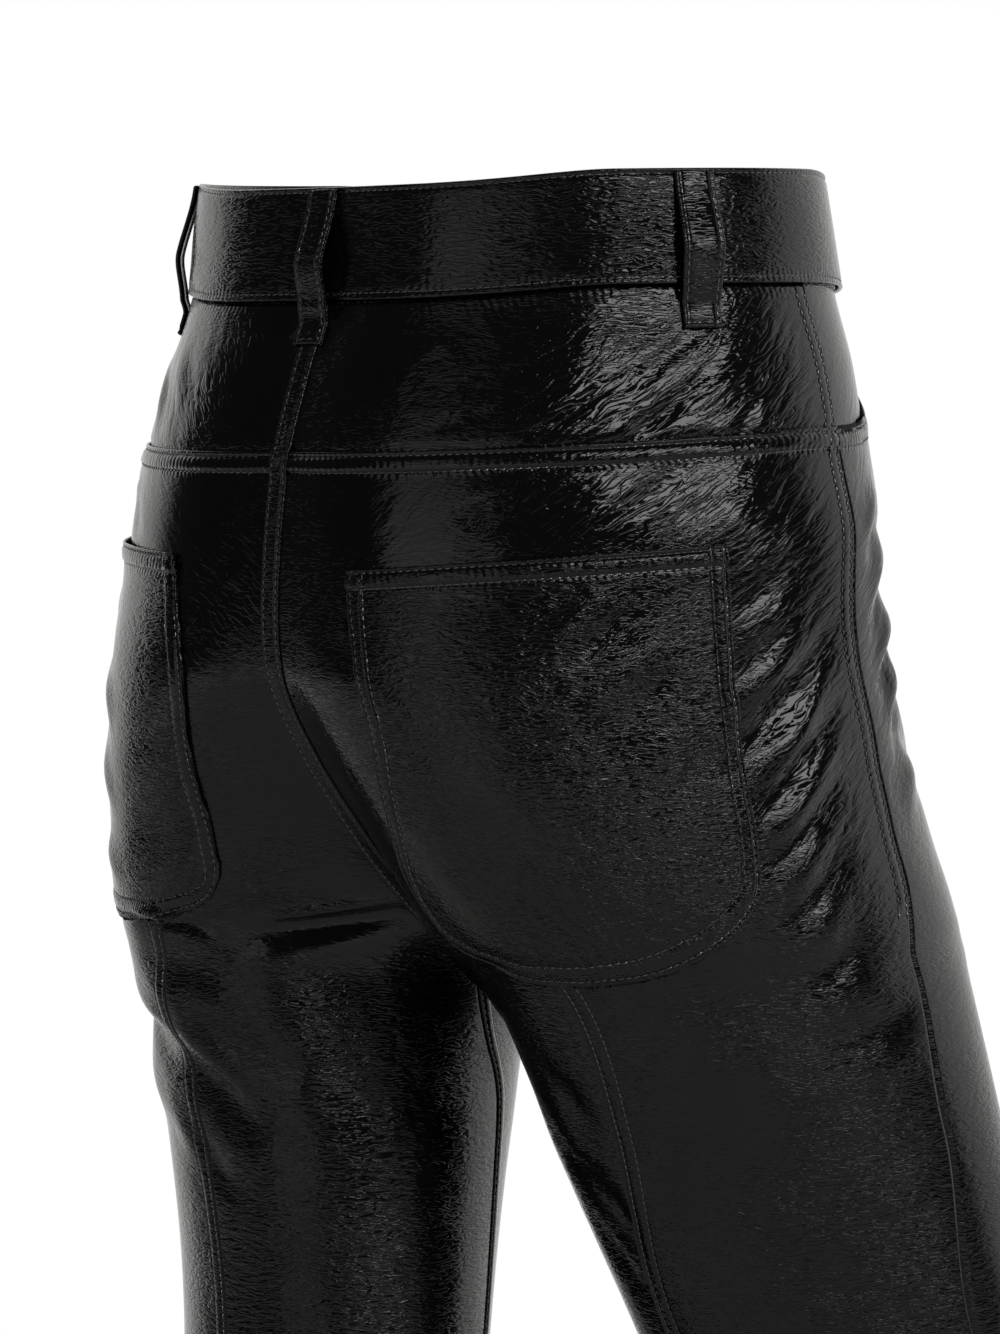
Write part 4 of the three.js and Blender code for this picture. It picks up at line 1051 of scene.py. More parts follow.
# ---------------------------------------------------------------- the lines of stitching


def rows_down(side, edge_of, distances, top, bottom):
    """Rows down beside an edge, each at its distance in front of it (below 0) or behind it."""
    height = np.linspace(top, bottom, max(3, int(abs(top - bottom) / 4)))
    edge = edge_of(side, height)
    degree = cloth_per_degree(side, edge, height)
    return [(side, edge + distance / degree, height) for distance in distances]


def row_across(side, height_of, start, end):
    """A row from one angle to another, at its own height at each."""
    angle = np.linspace(start, end, max(3, int(abs(end - start) / 1.4)))
    return side, angle, height_of(angle)


def hem_row(side, start_of, end_of):
    """The row of a hem, from a degree inside one edge to a degree inside the other."""
    low = HEM[side] + HEM_ROW
    start, end = (float(edge_of(side, np.float64(low))) for edge_of in (start_of, end_of))
    return row_across(side, lambda angle: low + 0 * angle, start + 1, end - 1)


def back_inner(side, height):
    return inner_edge(side, height, 1)


def front_inner(side, height):
    return inner_edge(side, height, -1)


def leg_rows(side):
    """The rows of one back leg: the yoke seam, the side seam at the hip, the dart, the hem."""
    start = float(side_seam(side, np.float64(YOKE_SIDE))) + .6
    end = float(centre_angle(np.float64(YOKE_BACK))) - 2.4
    return [*(row_across(side, lambda angle, d=d: yoke_height(angle) + .6 - d, start, end)
              for d in (ROW_IN, ROW_OUT)),
            *rows_down(side, side_seam, SIDE_ROWS, YOKE_SIDE - 1, SIDE_ROWS_END),
            *rows_down(side, dart_seam, [-d for d in DART_ROWS], DART_TOP - 22,
                       HEM[side] + HEM_ROW + 1),
            hem_row(side, side_seam, back_inner)]


def yoke_rows(side):
    return rows_down(side, side_seam, SIDE_ROWS, -27, YOKE_SIDE + 2)


def front_rows(side):
    """The rows of one front leg: the pocket's mouth, the inseam and the hem."""
    angle, height = scoop_point(side, np.radians(90) * np.linspace(.02, .97, 40))
    g = flat_scale(MOUTH_FLAT)
    flat = np.stack([angle * g, height], axis=-1)
    run = np.gradient(flat, axis=0)
    run /= np.linalg.norm(run, axis=1, keepdims=True)
    inward = np.stack([-run[:, 1], run[:, 0]], axis=-1)
    inward *= -np.sign(inward[0, 1])
    return [*((side, (flat + inward * d)[:, 0] / g, (flat + inward * d)[:, 1])
              for d in MOUTH_ROWS),
            *rows_down(side, front_inner, INSEAM_ROWS, CROTCH - 10, HEM[side] + HEM_ROW + 1),
            hem_row(side, front_inner, side_seam)]


def pocket_rows(side):
    across, top = np.linspace(.012, .988, 60), POCKETS[side][1][0][0]
    return [*((side, *pocket_outline(side, inset)[:2]) for inset in PATCH_ROWS),
            *((side, *pocket_node(side, top - under, across)) for under in PATCH_MOUTH_ROWS)]


def loop_rows(side, angle, standoff):
    """A loop's rows, as points and normals of its own."""
    down, half = np.linspace(.03, .965, 28), LOOP_WIDTH / 2 - LOOP_ROW
    across = np.linspace(-half, half, 7)
    foot = 0 * across + 1 - 2.0 / (LOOP_TOP - LOOP_BELOW)
    return [loop_place(side, angle, standoff, row, at, 1.8)
            for row, at in [(down, 0 * down - half), (down, 0 * down + half), (foot, across)]]


def band_rows():
    """The waistband's rows: its top, its bottom and its overlapping end."""
    end, row = np.linspace(.004, .996, 420), np.linspace(.05, .94, 14)
    tip = 0 * row + BAND_ROW / BAND_GIRTH
    return [*(band_place(band_turn(end), drop / BAND_HEIGHT + 0 * end, end, BAND_PROUD)[:2]
              for drop in (BAND_ROW, BAND_HEIGHT - BAND_LOW_ROW)),
            band_place(band_turn(tip), row, tip, BAND_PROUD)[:2]]


def strip_rows():
    height = np.linspace(-29, -283, 74)
    return [(side, centre_angle(height, STRIP_ROW), height) for side in (RIGHT, LEFT)]


def fly_rows():
    """The curved double row of the fly."""
    top = float(band_bottom(np.float64(-86))) - 3
    down = np.sin(np.linspace(0, np.pi / 2 * .93, 40))
    rows = []
    for inset in FLY_ROWS:
        height = top - (FLY_LENGTH - inset - 3) * down
        wide = (FLY_WIDTH - inset) * fly_width(down) + .3
        rows.append((LEFT, front_inner(LEFT, height) + wide / flat_scale(FLY_FLAT), height))
    return rows


def laid_on(carrier, rows):
    """Puts each row on its carrier's outer face: runs of points, with the normals there."""
    mesh = carrier.data
    verts = np.empty(len(mesh.vertices) * 3, np.float32)
    mesh.vertices.foreach_get("co", verts)
    tree = BVHTree.FromPolygons([tuple(v) for v in verts.reshape(-1, 3).tolist()],
                                [tuple(p.vertices) for p in mesh.polygons])
    runs = []
    for row in rows:
        base, toward = row if len(row) == 2 else (cloth(*row, 0), outward(*row))
        runs.append([])
        for p, n in zip(base, toward):
            n = Vector(n)
            point, normal = tree.ray_cast(Vector(p) * MM + n * .012, -n, .022)[:2]
            if point is None:
                runs.append([])
            else:
                runs[-1].append((point, normal if normal.dot(n) > .2 else n))
    return [run for run in runs if len(run) > 1]


class Nodes:
    """A short hand for building a node tree."""

    def __init__(self, tree):
        self.tree = tree

    def add(self, kind, inputs=(), **values):
        node = self.tree.nodes.new(kind)
        for key, value in values.items():
            setattr(node, key, value)
        self.feed(node, inputs)
        return node

    def feed(self, node, inputs):
        """Links each of a node's inputs to a socket, or gives it a plain value."""
        for key, value in dict(inputs).items():
            if isinstance(value, bpy.types.NodeSocket):
                self.tree.links.new(value, node.inputs[key])
            else:
                node.inputs[key].default_value = value

    def math(self, operation, a, b=0.0, c=0.0, clamp=False):
        return self.add("ShaderNodeMath", {0: a, 1: b, 2: c}, operation=operation,
                        use_clamp=clamp).outputs[0]

    def turned(self, vector, scale, turn=0.0, shift=(0, 0, 0)):
        """Turns the map first, so that the scale is along and across the turned lines."""
        return self.add("ShaderNodeMapping", {"Vector": vector, "Rotation": (0, 0, turn),
                                              "Scale": tuple(1 / v for v in scale),
                                              "Location": tuple(v * .01 for v in shift)},
                        vector_type="TEXTURE").outputs["Vector"]

    def noise(self, vector, detail=2.0, roughness=.5, distortion=0.0, scale=1.0):
        return self.add("ShaderNodeTexNoise",
                        {"Vector": vector, "Scale": scale, "Detail": detail,
                         "Roughness": roughness, "Distortion": distortion},
                        noise_dimensions="3D").outputs["Fac"]

    def shade(self, factor, colour, dark=1.0, light=1.0, bright=None):
        """A colour that goes from a darker to a brighter one with the factor."""
        return self.add("ShaderNodeMix", {
            "Factor": factor, "A": (*(min(1, c * dark) for c in colour), 1),
            "B": (*(min(1, c * light) for c in bright or colour), 1)},
            data_type="RGBA").outputs["Result"]

    def bump(self, height, strength, distance):
        return self.add("ShaderNodeBump", {"Height": height, "Strength": strength,
                                           "Distance": distance}).outputs["Normal"]


def node_group(name, kind, inputs, outputs):
    """A new node group. Each input is a label, a kind, and its value with its limits."""
    tree = bpy.data.node_groups.new(name, kind)
    for label, socket, *values in inputs:
        item = tree.interface.new_socket(label, in_out="INPUT",
                                         socket_type="NodeSocket" + socket)
        for key, value in zip(("default_value", "min_value", "max_value"), values):
            setattr(item, key, value)
    for label, socket in outputs:
        tree.interface.new_socket(label, in_out="OUTPUT", socket_type="NodeSocket" + socket)
    return tree, Nodes(tree)


def stitch_tree():
    """Geometry nodes that set raised stitches along the edges of a mesh."""
    tree, n = node_group("row_of_stitches", "GeometryNodeTree", [
        ("Geometry", "Geometry"), ("Pitch", "Float", .0032, .0005, .02),
        ("Length", "Float", .0026, .0003, .02), ("Width", "Float", .00055, .0001, .005),
        ("Height", "Float", .00042, .0001, .005), ("Slant", "Float", .06, -1.6, 1.6),
        ("Unevenness", "Float", .05, 0, .5), ("Thread", "Material")],
        [("Geometry", "Geometry")])
    given = n.add("NodeGroupInput").outputs
    curve = n.add("GeometryNodeMeshToCurve", {"Mesh": given["Geometry"]}).outputs["Curve"]
    even = n.add("GeometryNodeResampleCurve", {"Curve": curve, "Length": given["Pitch"]},
                 mode="LENGTH").outputs["Curve"]
    ball = n.add("GeometryNodeMeshUVSphere", {"Segments": 6, "Rings": 4, "Radius": .5})
    size = n.add("ShaderNodeCombineXYZ", {"X": given["Length"], "Y": given["Width"],
                                          "Z": given["Height"]}).outputs["Vector"]
    stitch = n.add("GeometryNodeTransform", {"Geometry": ball.outputs["Mesh"], "Scale": size})
    tangent = n.add("GeometryNodeInputTangent").outputs["Tangent"]
    out = n.add("GeometryNodeInputNamedAttribute", {"Name": "out"}, data_type="FLOAT_VECTOR")
    along = n.add("FunctionNodeAlignRotationToVector", {"Vector": tangent}, axis="X")
    lying = n.add("FunctionNodeAlignRotationToVector",
                  {"Rotation": along.outputs["Rotation"], "Vector": out.outputs["Attribute"]},
                  axis="Z", pivot_axis="X")
    wander = n.add("FunctionNodeRandomValue",
                   {"Min": n.math("MULTIPLY", given["Unevenness"], -1),
                    "Max": given["Unevenness"], "Seed": 7}, data_type="FLOAT")
    angle = n.math("ADD", given["Slant"], wander.outputs["Value"])
    slant = n.add("FunctionNodeAxisAngleToRotation", {"Axis": (0, 0, 1), "Angle": angle})
    turned = n.add("FunctionNodeRotateRotation",
                   {"Rotation": lying.outputs["Rotation"],
                    "Rotate By": slant.outputs["Rotation"]}, rotation_space="LOCAL")
    row = n.add("GeometryNodeInstanceOnPoints",
                {"Points": even, "Instance": stitch.outputs["Geometry"],
                 "Rotation": turned.outputs["Rotation"]}).outputs["Instances"]
    real = n.add("GeometryNodeRealizeInstances", {"Geometry": row}).outputs["Geometry"]
    sewing = n.add("GeometryNodeSetMaterial", {"Geometry": real, "Material": given["Thread"]})
    n.add("NodeGroupOutput", {"Geometry": sewing.outputs["Geometry"]})
    return tree


def sewn(name, runs):
    """One mesh of stitches along runs of points that lie on a carrier."""
    settings = bpy.context.scene.trousers_stitches
    verts, edges, normals = [], [], []
    for run in runs:
        edges += [(len(verts) + i, len(verts) + i + 1) for i in range(len(run) - 1)]
        verts += [tuple(np.array(p) + np.array(n) * .00015) for p, n in run]
        normals += [tuple(n) for _, n in run]
    guide = bpy.data.meshes.new(name + "_guide")
    guide.from_pydata(verts, edges, [])
    data = guide.attributes.new("out", "FLOAT_VECTOR", "POINT")
    data.data.foreach_set("vector", np.array(normals, np.float32).ravel())
    rail = put(name + "_guide", guide)
    modifier = rail.modifiers.new("stitches", "NODES")
    modifier.node_group = bpy.data.node_groups.get("row_of_stitches") or stitch_tree()
    values = {"Pitch": settings.pitch, "Length": settings.length, "Width": settings.width,
              "Height": .8 * settings.width, "Thread": thread_material()}
    for item in modifier.node_group.interface.items_tree:
        if item.in_out == "INPUT" and item.name in values:
            modifier[item.identifier] = values[item.name]
    bpy.context.view_layer.update()
    ready = rail.evaluated_get(bpy.context.evaluated_depsgraph_get())
    mesh = bpy.data.meshes.new_from_object(ready)
    mesh.name = name
    piece = put(name, mesh)
    bpy.data.objects.remove(rail)
    bpy.data.meshes.remove(guide)
    return piece


# ---------------------------------------------------------------- materials


def crinkle_group():
    """Patent vinyl's relief: smooth level wrinkles with narrow crevices between them, puckers
    across the sewn strips, one to a stitch, and slanting wrinkles where the cloth is dragged.
    It reads the piece's own map, in metres, and gives its height in millimetres."""
    tree, n = node_group("vinyl_crinkle", "ShaderNodeTree",
                         [("Map", "Vector"), ("Grain", "Float", 1.0), ("Pucker", "Float", 0.0),
                          ("Drag", "Float", 0.0)], [("Height", "Float"), ("Scuff", "Float")])
    given = n.add("NodeGroupInput").outputs
    where, drag = given["Map"], given["Drag"]
    soft = n.noise(n.turned(where, (60, 60, 1)), 2.0, .5)
    bend = n.add("ShaderNodeCombineXYZ", {"X": 0.0, "Y": n.math("MULTIPLY", soft, .0055)})
    bent = n.add("ShaderNodeVectorMath", {0: where, 1: bend.outputs[0]},
                 operation="ADD").outputs[0]

    def wrinkles(size, degrees, shift, crevice, distortion=.3):
        """1 on smooth wrinkles and 0 in the crevices between them."""
        value = n.noise(n.turned(bent, size, math.radians(degrees), shift), 1.0, .45,
                        distortion)
        away = n.math("MULTIPLY", n.math("SUBTRACT", value, .5), 4.0)
        square = n.math("MULTIPLY", away, away)
        return n.math("DIVIDE", square, n.math("ADD", square, crevice))

    def layers(parts, share):
        total = 0.0
        for depth, part in parts:
            total = n.math("MULTIPLY_ADD", part, depth, total)
        return n.math("MULTIPLY", total, share)

    level = n.math("MULTIPLY", given["Grain"], n.math("SUBTRACT", 1.0, drag, clamp=True))
    patch = n.noise(n.turned(where, (18, 22, 1), shift=(1, 7, 2)), 2.0)
    patch = n.math("MULTIPLY_ADD", patch, 3.4, -1.2, clamp=True)
    fine = n.math("MULTIPLY", wrinkles((160, 800, 1), 0, (0, 0, 0), .06),
                  n.math("MULTIPLY_ADD", patch, .75, .35))
    grain = layers([(.17, fine), (.1, wrinkles((80, 330, 1), -4, (3, 1, 4), .2))], level)
    across = n.add("ShaderNodeSeparateXYZ", {0: where}).outputs["X"]
    wander = n.noise(n.turned(where, (45, 160, 1), shift=(2, 4, 0)), 1.0)
    stitch = n.math("SINE", n.math("MULTIPLY_ADD", across, 2 * math.pi / .0032,
                                   n.math("MULTIPLY", wander, 9.0)))
    folds = wrinkles((190, 60, 1), -8, (2, 5, 1), .3, .2)
    pucker = layers([(.08, stitch), (.16, folds)], given["Pucker"])
    dragged = layers([(.15, wrinkles((85, 430, 1), -30, (5, 2, 0), .025)),
                      (.3, wrinkles((38, 170, 1), -37, (4, 2, 0), .25)),
                      (.35, wrinkles((16, 85, 1), -40, (1, 6, 0), .4))], drag)
    n.add("NodeGroupOutput", {
        "Height": n.math("ADD", n.math("ADD", grain, pucker), dragged),
        "Scuff": n.noise(n.turned(where, (60, 60, 1), shift=(9, 9, 9)), 4.0, .6)})
    return tree


def new_material(name):
    """A new material, its nodes and its surface shader."""
    material = bpy.data.materials.new(name)
    material.use_nodes = True
    tree = material.node_tree
    return material, Nodes(tree), tree.nodes["Principled BSDF"]


def patent_vinyl(settings):
    """Black patent vinyl: a deep gloss film over a crinkled ground."""
    material, n, shader = new_material("patent_vinyl")
    marks = n.add("ShaderNodeAttribute", attribute_name="finish").outputs["Vector"]
    grain, pucker, drag = n.add("ShaderNodeSeparateXYZ", {0: marks}).outputs
    where = n.add("ShaderNodeUVMap", uv_map="cloth_uv").outputs["UV"]
    relief = n.add("ShaderNodeGroup",
                   {"Map": where, "Grain": grain, "Pucker": pucker, "Drag": drag},
                   node_tree=bpy.data.node_groups.get("vinyl_crinkle") or crinkle_group())
    scuff = relief.outputs["Scuff"]
    n.feed(shader, {"Base Color": n.shade(scuff, settings.colour, .8, 1.3),
                    "Roughness": n.math("MULTIPLY_ADD", scuff, .05, settings.gloss),
                    "Normal": n.bump(relief.outputs["Height"], 1.0, settings.relief),
                    "IOR": 1.5})
    return material


def knit_backing():
    """The vinyl's brushed knit back: black, matt, with fine ribs."""
    material, n, shader = new_material("knit_backing")
    where = n.add("ShaderNodeUVMap", uv_map="cloth_uv").outputs["UV"]
    ribs = n.add("ShaderNodeTexWave", {"Vector": n.turned(where, (420, 420, 1)), "Scale": 1.0,
                                       "Distortion": 1.2, "Detail": 1.0},
                 wave_type="BANDS", bands_direction="X").outputs["Fac"]
    fuzz = n.noise(n.turned(where, (1500, 1500, 1)), 2.0)
    n.feed(shader, {
        "Base Color": n.shade(fuzz, (.008, .008, .0085), bright=(.022, .022, .023)),
        "Normal": n.bump(n.math("MULTIPLY_ADD", ribs, .7, fuzz), .8, .0002),
        "Roughness": .92})
    return material


def sewing_thread(settings):
    """Black bonded thread: a soft sheen on a fine twist."""
    material, n, shader = new_material("sewing_thread")
    where = n.add("ShaderNodeTexCoord").outputs["Object"]
    twist = n.noise(n.turned(where, (2600, 2600, 2600)), 2.0)
    n.feed(shader, {"Base Color": n.shade(twist, settings.thread, .7, 1.5),
                    "Normal": n.bump(twist, .6, .00008), "Roughness": .2, "IOR": 1.8,
                    "Specular IOR Level": 1.0})
    return material


def black_metal():
    """Black-plated brass, rubbed brighter on its rim."""
    material, n, shader = new_material("button_metal_black")
    where = n.add("ShaderNodeTexCoord").outputs["Object"]
    brush = n.noise(n.turned(where, (900, 5200, 900)), 3.0)
    wear = n.noise(n.turned(where, (260, 260, 260), shift=(1, 1, 1)), 4.0, .6)
    n.feed(shader, {"Base Color": n.shade(wear, (.05, .05, .052), bright=(.14, .138, .135)),
                    "Roughness": n.math("MULTIPLY_ADD", brush, .16, .2),
                    "Normal": n.bump(brush, .35, .00005), "Metallic": 1.0})
    return material


def cloth_materials():
    settings = bpy.context.scene.trousers_cloth
    return (bpy.data.materials.get("patent_vinyl") or patent_vinyl(settings),
            bpy.data.materials.get("knit_backing") or knit_backing())


def thread_material():
    return bpy.data.materials.get("sewing_thread") or sewing_thread(
        bpy.context.scene.trousers_cloth)


# ---------------------------------------------------------------- dressing the frame


def cut_size(piece):
    """The flat piece that was cut: its width, its length and its area, in metres."""
    mesh = piece.data
    half = len(mesh.vertices) // 2
    area = sum(p.area for p in mesh.polygons if max(p.vertices) < half)
    layer = np.empty(len(mesh.loops) * 2, np.float32)
    mesh.uv_layers["cloth_uv"].uv.foreach_get("vector", layer)
    spread = np.ptp(layer.reshape(-1, 2), axis=0)
    width, length = round(float(spread[0]), 3), round(float(spread[1]), 3)
    return width, length, round(min(.97 * width * length, max(.32 * width * length, area)), 4)


def belongs(piece, nodes):
    """A piece of cloth or thread that moves with the trousers and stands for their solids."""
    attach(piece, "root")
    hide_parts(*nodes)
    return piece


def sew(piece, nodes, rows):
    """The stitches along a piece's rows."""
    name = piece.name.replace("_cloth", "") + "_stitches"
    return belongs(sewn(name, laid_on(piece, rows)), nodes)


def dress(piece, nodes, rows=()):
    """Rides and replaces one piece of cloth, and sews its rows."""
    belongs(piece, nodes)
    stitches = [sew(piece, nodes, rows)] if rows else []
    width, length, area = cut_size(piece)


class ClothSettings(bpy.types.PropertyGroup):
    colour: FloatVectorProperty(name="Vinyl", description="Colour of the vinyl film",
                                subtype="COLOR", size=3, min=0, max=1,
                                default=(.0034, .0034, .0036))
    thread: FloatVectorProperty(name="Thread", description="Colour of the sewing thread",
                                subtype="COLOR", size=3, min=0, max=1,
                                default=(.03, .03, .031))
    gloss: FloatProperty(name="Haze", description="How far the gloss is softened",
                         default=.045, min=.02, max=.6)
    relief: FloatProperty(name="Crinkle", description="Height of one unit of the crinkle",
                          default=.001, min=0, max=.004, unit="LENGTH")


class StitchSettings(bpy.types.PropertyGroup):
    pitch: FloatProperty(name="Pitch", description="From one stitch to the next",
                         default=.0032, min=.001, max=.01, unit="LENGTH")
    length: FloatProperty(name="Length", description="Length of one stitch",
                          default=.0026, min=.0005, max=.01, unit="LENGTH")
    width: FloatProperty(name="Thickness", description="Thickness of the thread",
                         default=.0007, min=.0002, max=.002, unit="LENGTH")


class StageSettings(bpy.types.PropertyGroup):
    floor: FloatVectorProperty(name="Floor", description="Colour of the floor",
                               subtype="COLOR", size=3, min=0, max=1,
                               default=(.62, .62, .6))
    turn: FloatProperty(name="Turn", description="Where the camera stands, round the front",
                        default=math.radians(225), unit="ROTATION")
    rise: FloatProperty(name="Rise", description="How far the camera looks down",
                        default=math.radians(3), unit="ROTATION")
    distance: FloatProperty(name="Distance", description="From the camera to the trousers",
                            default=2.6, min=.5, max=20, unit="LENGTH")
    lens: FloatProperty(name="Lens", description="Focal length of the camera",
                        default=175.41, min=20, max=400, unit="CAMERA")


class TROUSERS_OT_back_legs(bpy.types.Operator):
    """Cut and sew the two back legs"""
    bl_idname = "trousers.back_legs"
    bl_label = "Back Legs"

    def execute(self, context):
        for side in (LEFT, RIGHT):
            dress(back_leg(side), [f"back_leg_{WORD[side]}"], leg_rows(side))
        return {"FINISHED"}


class TROUSERS_OT_front_legs(bpy.types.Operator):
    """Cut and sew the two front legs"""
    bl_idname = "trousers.front_legs"
    bl_label = "Front Legs"

    def execute(self, context):
        for side in (LEFT, RIGHT):
            dress(front_leg(side), [f"front_leg_{WORD[side]}"], front_rows(side))
        return {"FINISHED"}


class TROUSERS_OT_yokes(bpy.types.Operator):
    """Cut and sew the back yoke's halves and the strip down the centre back"""
    bl_idname = "trousers.yokes"
    bl_label = "Yoke and Centre Strip"

    def execute(self, context):
        halves = ["yoke_left", "yoke_right"]
        strip = belongs(centre_strip(), halves)
        trim = [strip, sew(strip, halves, strip_rows())]
        for side in (LEFT, RIGHT):
            dress(yoke(side), [f"yoke_{WORD[side]}"], yoke_rows(side))
        return {"FINISHED"}


class TROUSERS_OT_hip_pieces(bpy.types.Operator):
    """Cut the hip pieces inside the front pockets"""
    bl_idname = "trousers.hip_pieces"
    bl_label = "Hip Pieces"

    def execute(self, context):
        for side in (LEFT, RIGHT):
            dress(hip_piece(side), [f"hip_piece_{WORD[side]}"])
        return {"FINISHED"}


class TROUSERS_OT_back_pockets(bpy.types.Operator):
    """Cut and sew the patch pockets"""
    bl_idname = "trousers.back_pockets"
    bl_label = "Back Pockets"

    def execute(self, context):
        for side in (LEFT, RIGHT):
            dress(back_pocket(side), [f"back_pocket_{WORD[side]}"], pocket_rows(side))
        return {"FINISHED"}


class TROUSERS_OT_waistband(bpy.types.Operator):
    """Fold and sew the waistband"""
    bl_idname = "trousers.waistband"
    bl_label = "Waistband"

    def execute(self, context):
        dress(waistband(), ["waistband"], band_rows())
        return {"FINISHED"}


class TROUSERS_OT_belt_loops(bpy.types.Operator):
    """Fold and sew the five belt loops"""
    bl_idname = "trousers.belt_loops"
    bl_label = "Belt Loops"

    def execute(self, context):
        for word, *where in LOOPS:
            dress(belt_loop(word, *where), [f"belt_loop_{word}"], loop_rows(*where))
        return {"FINISHED"}


class TROUSERS_OT_fly(bpy.types.Operator):
    """Sew the fly's flap and fasten the waist button"""
    bl_idname = "trousers.fly"
    bl_label = "Fly and Button"

    def execute(self, context):
        dress(fly_flap(), ["fly_flap"], fly_rows())
        button = waist_button(bpy.data.materials.get("button_metal_black") or black_metal())
        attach(button, "root")
        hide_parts("waist_button")
        return {"FINISHED"}


# ---------------------------------------------------------------- the stage


def stage_floor(colour):
    """A round pale floor under the hems, fading out toward its rim."""
    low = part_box("back_leg_left")[0][2] - .004
    steps, radii = 64, [.6, 1.2, 1.8, 2.4, 3.0]
    verts = [(0, 0, low)] + [(r * math.cos(2 * math.pi * i / steps),
                              r * math.sin(2 * math.pi * i / steps), low)
                             for r in radii for i in range(steps)]
    faces = [(0, 1 + i, 1 + (i + 1) % steps) for i in range(steps)]
    for a in range(1, 1 + (len(radii) - 1) * steps, steps):
        b = a + steps
        faces += [(a + i, b + i, b + (i + 1) % steps, a + (i + 1) % steps)
                  for i in range(steps)]
    mesh = bpy.data.meshes.new("floor")
    mesh.from_pydata(verts, [], faces)
    material, n, shader = new_material("floor_paper")
    where = n.add("ShaderNodeTexCoord").outputs["Object"]
    flat = n.add("ShaderNodeVectorMath", {0: where, 1: (1, 1, 0)}, operation="MULTIPLY")
    far = n.add("ShaderNodeVectorMath", {0: flat.outputs[0]}, operation="LENGTH")
    fade = n.add("ShaderNodeMapRange", {"Value": far.outputs["Value"], "From Min": 1.5,
                                        "From Max": 2.7, "To Min": 1.0, "To Max": 0.0})
    path = n.add("ShaderNodeLightPath").outputs
    mirrored = n.math("MULTIPLY", path["Is Glossy Ray"], .08)
    seen = n.math("MULTIPLY_ADD", path["Is Camera Ray"], .42, mirrored)
    n.feed(shader, {"Base Color": n.shade(n.noise(where, 3.0, scale=9.0), colour, .98, 1.02),
                    "Alpha": fade.outputs["Result"], "Roughness": .9,
                    "Emission Color": (1, 1, .985, 1), "Emission Strength": seen})
    mesh.materials.append(material)
    put("floor", mesh)


def bearing(azimuth, elevation):
    """A unit vector toward an azimuth round from the front and an elevation, in radians."""
    return Vector((math.sin(azimuth) * math.cos(elevation),
                   -math.cos(azimuth) * math.cos(elevation), math.sin(elevation)))


def panel_light(name, azimuth, elevation, distance, size, radiance, turn=0.0):
    """A soft rectangular light that faces the seat."""
    way = bearing(math.radians(azimuth), math.radians(elevation))
    data = bpy.data.lights.new(name, "AREA")
    data.shape = "RECTANGLE"
    data.size, data.size_y = size
    data.energy = radiance * math.pi * size[0] * size[1]
    lamp = put(name, data)
    facing = way.to_track_quat("Z", "Y").to_matrix().to_4x4()
    lamp.matrix_world = (Matrix.Translation(Vector((0, 0, -.2)) + way * distance) @ facing
                         @ Matrix.Rotation(math.radians(turn), 4, "Z"))
    lamp.visible_camera = False


def studio_world():
    """A white backdrop on one side and a dim room behind the camera."""
    world = bpy.data.worlds.new("studio")
    bpy.context.scene.world = world
    world.use_nodes = True
    world.node_tree.nodes.clear()
    n = Nodes(world.node_tree)

    def ramp(value, start, end, low=0.0, high=1.0):
        return n.add("ShaderNodeMapRange", {"Value": value, "From Min": start, "From Max": end,
                                            "To Min": low, "To Max": high},
                     interpolation_type="SMOOTHSTEP").outputs[0]

    way = n.add("ShaderNodeTexCoord").outputs["Generated"]
    lit = bearing(math.radians(25), 0)
    ahead = n.add("ShaderNodeVectorMath", {0: way, 1: tuple(lit)}, operation="DOT_PRODUCT")
    up = n.add("ShaderNodeSeparateXYZ", {0: way}).outputs["Z"]
    backdrop = n.math("MULTIPLY", ramp(ahead.outputs["Value"], .22, .55),
                      ramp(up, .45, .8, 1.0, .25))
    light = n.math("MULTIPLY_ADD", backdrop, .72, .035)
    light = n.math("MAXIMUM", light, ramp(up, -.3, -.1, .5, 0.0))
    seen = n.add("ShaderNodeBackground", {"Color": (1, 1, 1, 1), "Strength": 1.0})
    lights = n.add("ShaderNodeBackground", {"Color": (1, 1, .985, 1), "Strength": light})
    path = n.add("ShaderNodeLightPath")
    blend = n.add("ShaderNodeMixShader", {0: path.outputs["Is Camera Ray"],
                                          1: lights.outputs[0], 2: seen.outputs[0]})
    n.add("ShaderNodeOutputWorld", {"Surface": blend.outputs[0]})


def stage_camera(settings):
    """The camera, level but for a slight roll, with the seat in the middle of its view."""
    aim, roll = Vector((10.7, 10.7, -173)) * MM, math.radians(-.8)
    back = bearing(settings.turn, settings.rise)
    right = (-back).cross(Vector((0, 0, 1))).normalized()
    up = right.cross(-back)
    right, up = (right * math.cos(roll) + up * math.sin(roll),
                 up * math.cos(roll) - right * math.sin(roll))
    data = bpy.data.cameras.new("camera")
    data.sensor_fit, data.sensor_width, data.lens = "AUTO", 36, settings.lens
    data.clip_start, data.clip_end = .1, 60
    camera = put("camera", data)
    turn = Matrix((right, up, back)).transposed().to_4x4()
    camera.matrix_world = Matrix.Translation(aim + back * settings.distance) @ turn
    bpy.context.scene.camera = camera


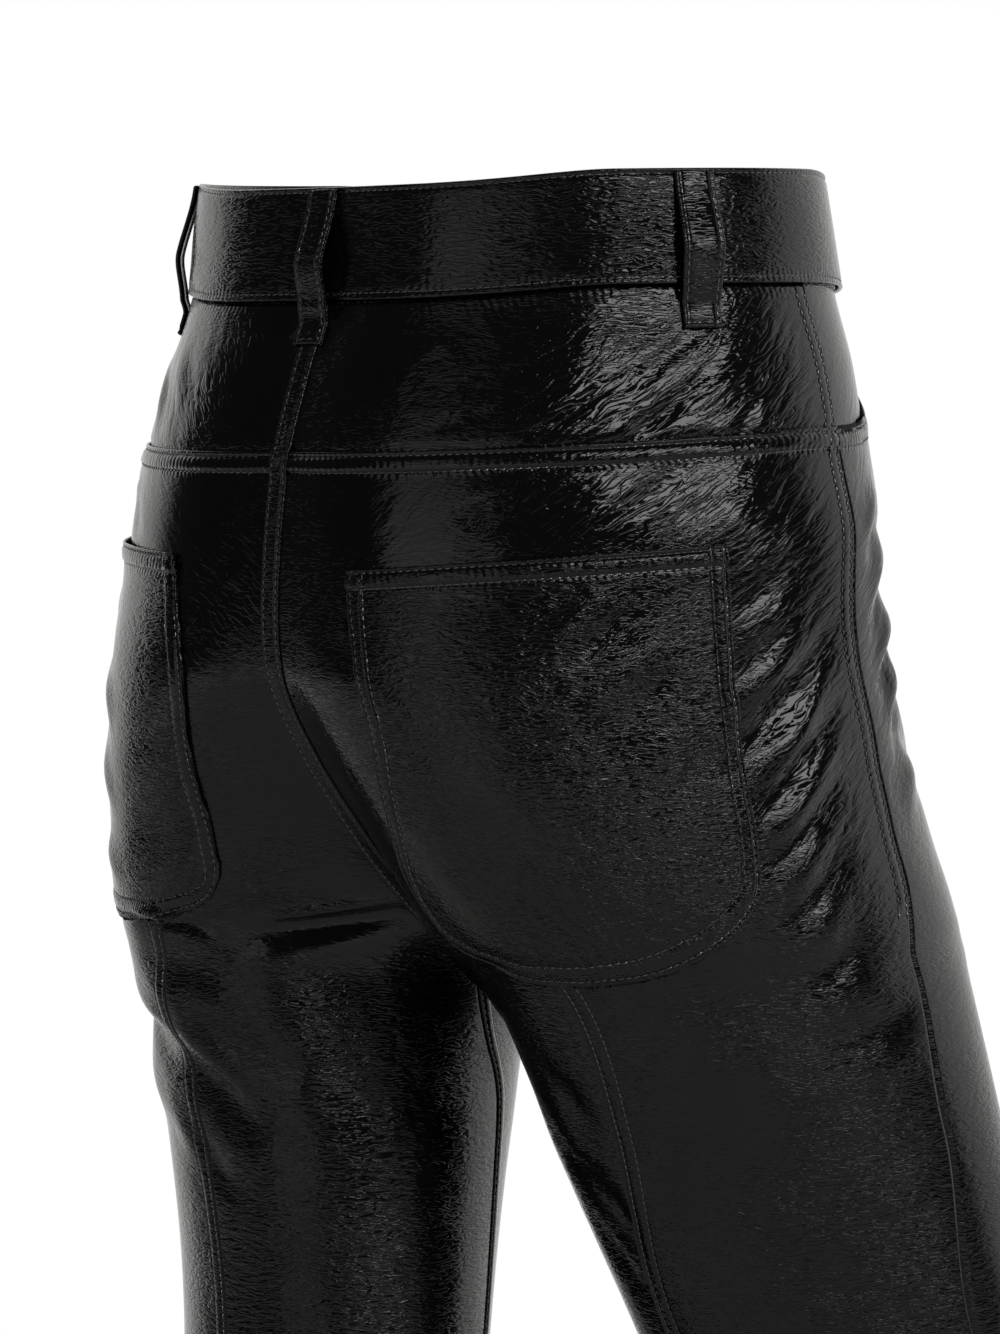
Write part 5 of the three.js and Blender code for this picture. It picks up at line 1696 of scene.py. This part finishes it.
class TROUSERS_OT_stage(bpy.types.Operator):
    """Set the floor, the studio lights and the camera"""
    bl_idname = "trousers.stage"
    bl_label = "Stage"

    def execute(self, context):
        settings = context.scene.trousers_stage
        context.scene.view_settings.view_transform = "Standard"
        stage_floor(settings.floor)
        studio_world()
        panel_light("key_softbox", 258, 30, 2.6, (2.7, .62), 4.3, turn=-14)
        panel_light("low_strip", 272, 10, 2.6, (1.5, .28), 1.1)
        panel_light("side_panel", 186, 3, 2.8, (1.9, 1.0), .5)
        panel_light("side_panel_top", 179, 23, 2.8, (1.0, 1.0), .33)
        stage_camera(settings)
        return {"FINISHED"}


# ---------------------------------------------------------------- the add-on


class TROUSERS_PT_panel(bpy.types.Panel):
    bl_idname = "TROUSERS_PT_panel"
    bl_label = "Vinyl Trousers"
    bl_space_type = "VIEW_3D"
    bl_region_type = "UI"
    bl_category = "Trousers"

    def draw(self, context):
        layout = self.layout
        for name in GROUPS:
            settings = getattr(context.scene, name)
            box = layout.box()
            for item in type(settings).__annotations__:
                box.prop(settings, item)
        for operator in OPERATORS:
            layout.operator(operator.bl_idname)


OPERATORS = (TROUSERS_OT_back_legs, TROUSERS_OT_front_legs, TROUSERS_OT_yokes,
             TROUSERS_OT_hip_pieces, TROUSERS_OT_back_pockets, TROUSERS_OT_waistband,
             TROUSERS_OT_belt_loops, TROUSERS_OT_fly, TROUSERS_OT_stage)
GROUPS = {"trousers_cloth": ClothSettings, "trousers_stitches": StitchSettings,
          "trousers_stage": StageSettings}
KINDS = (*GROUPS.values(), *OPERATORS, TROUSERS_PT_panel)


def register():
    for kind in KINDS:
        bpy.utils.register_class(kind)
    for name, kind in GROUPS.items():
        setattr(bpy.types.Scene, name, PointerProperty(type=kind))


def unregister():
    for name in GROUPS:
        delattr(bpy.types.Scene, name)
    for kind in reversed(KINDS):
        bpy.utils.unregister_class(kind)


def main():
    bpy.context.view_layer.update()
    register()
    bpy.ops.trousers.back_legs()
    bpy.ops.trousers.front_legs()
    bpy.ops.trousers.yokes()
    bpy.ops.trousers.hip_pieces()
    bpy.ops.trousers.back_pockets()
    bpy.ops.trousers.waistband()
    bpy.ops.trousers.belt_loops()
    bpy.ops.trousers.fly()
    bpy.ops.trousers.stage()


if __name__ == "__main__":
    main()
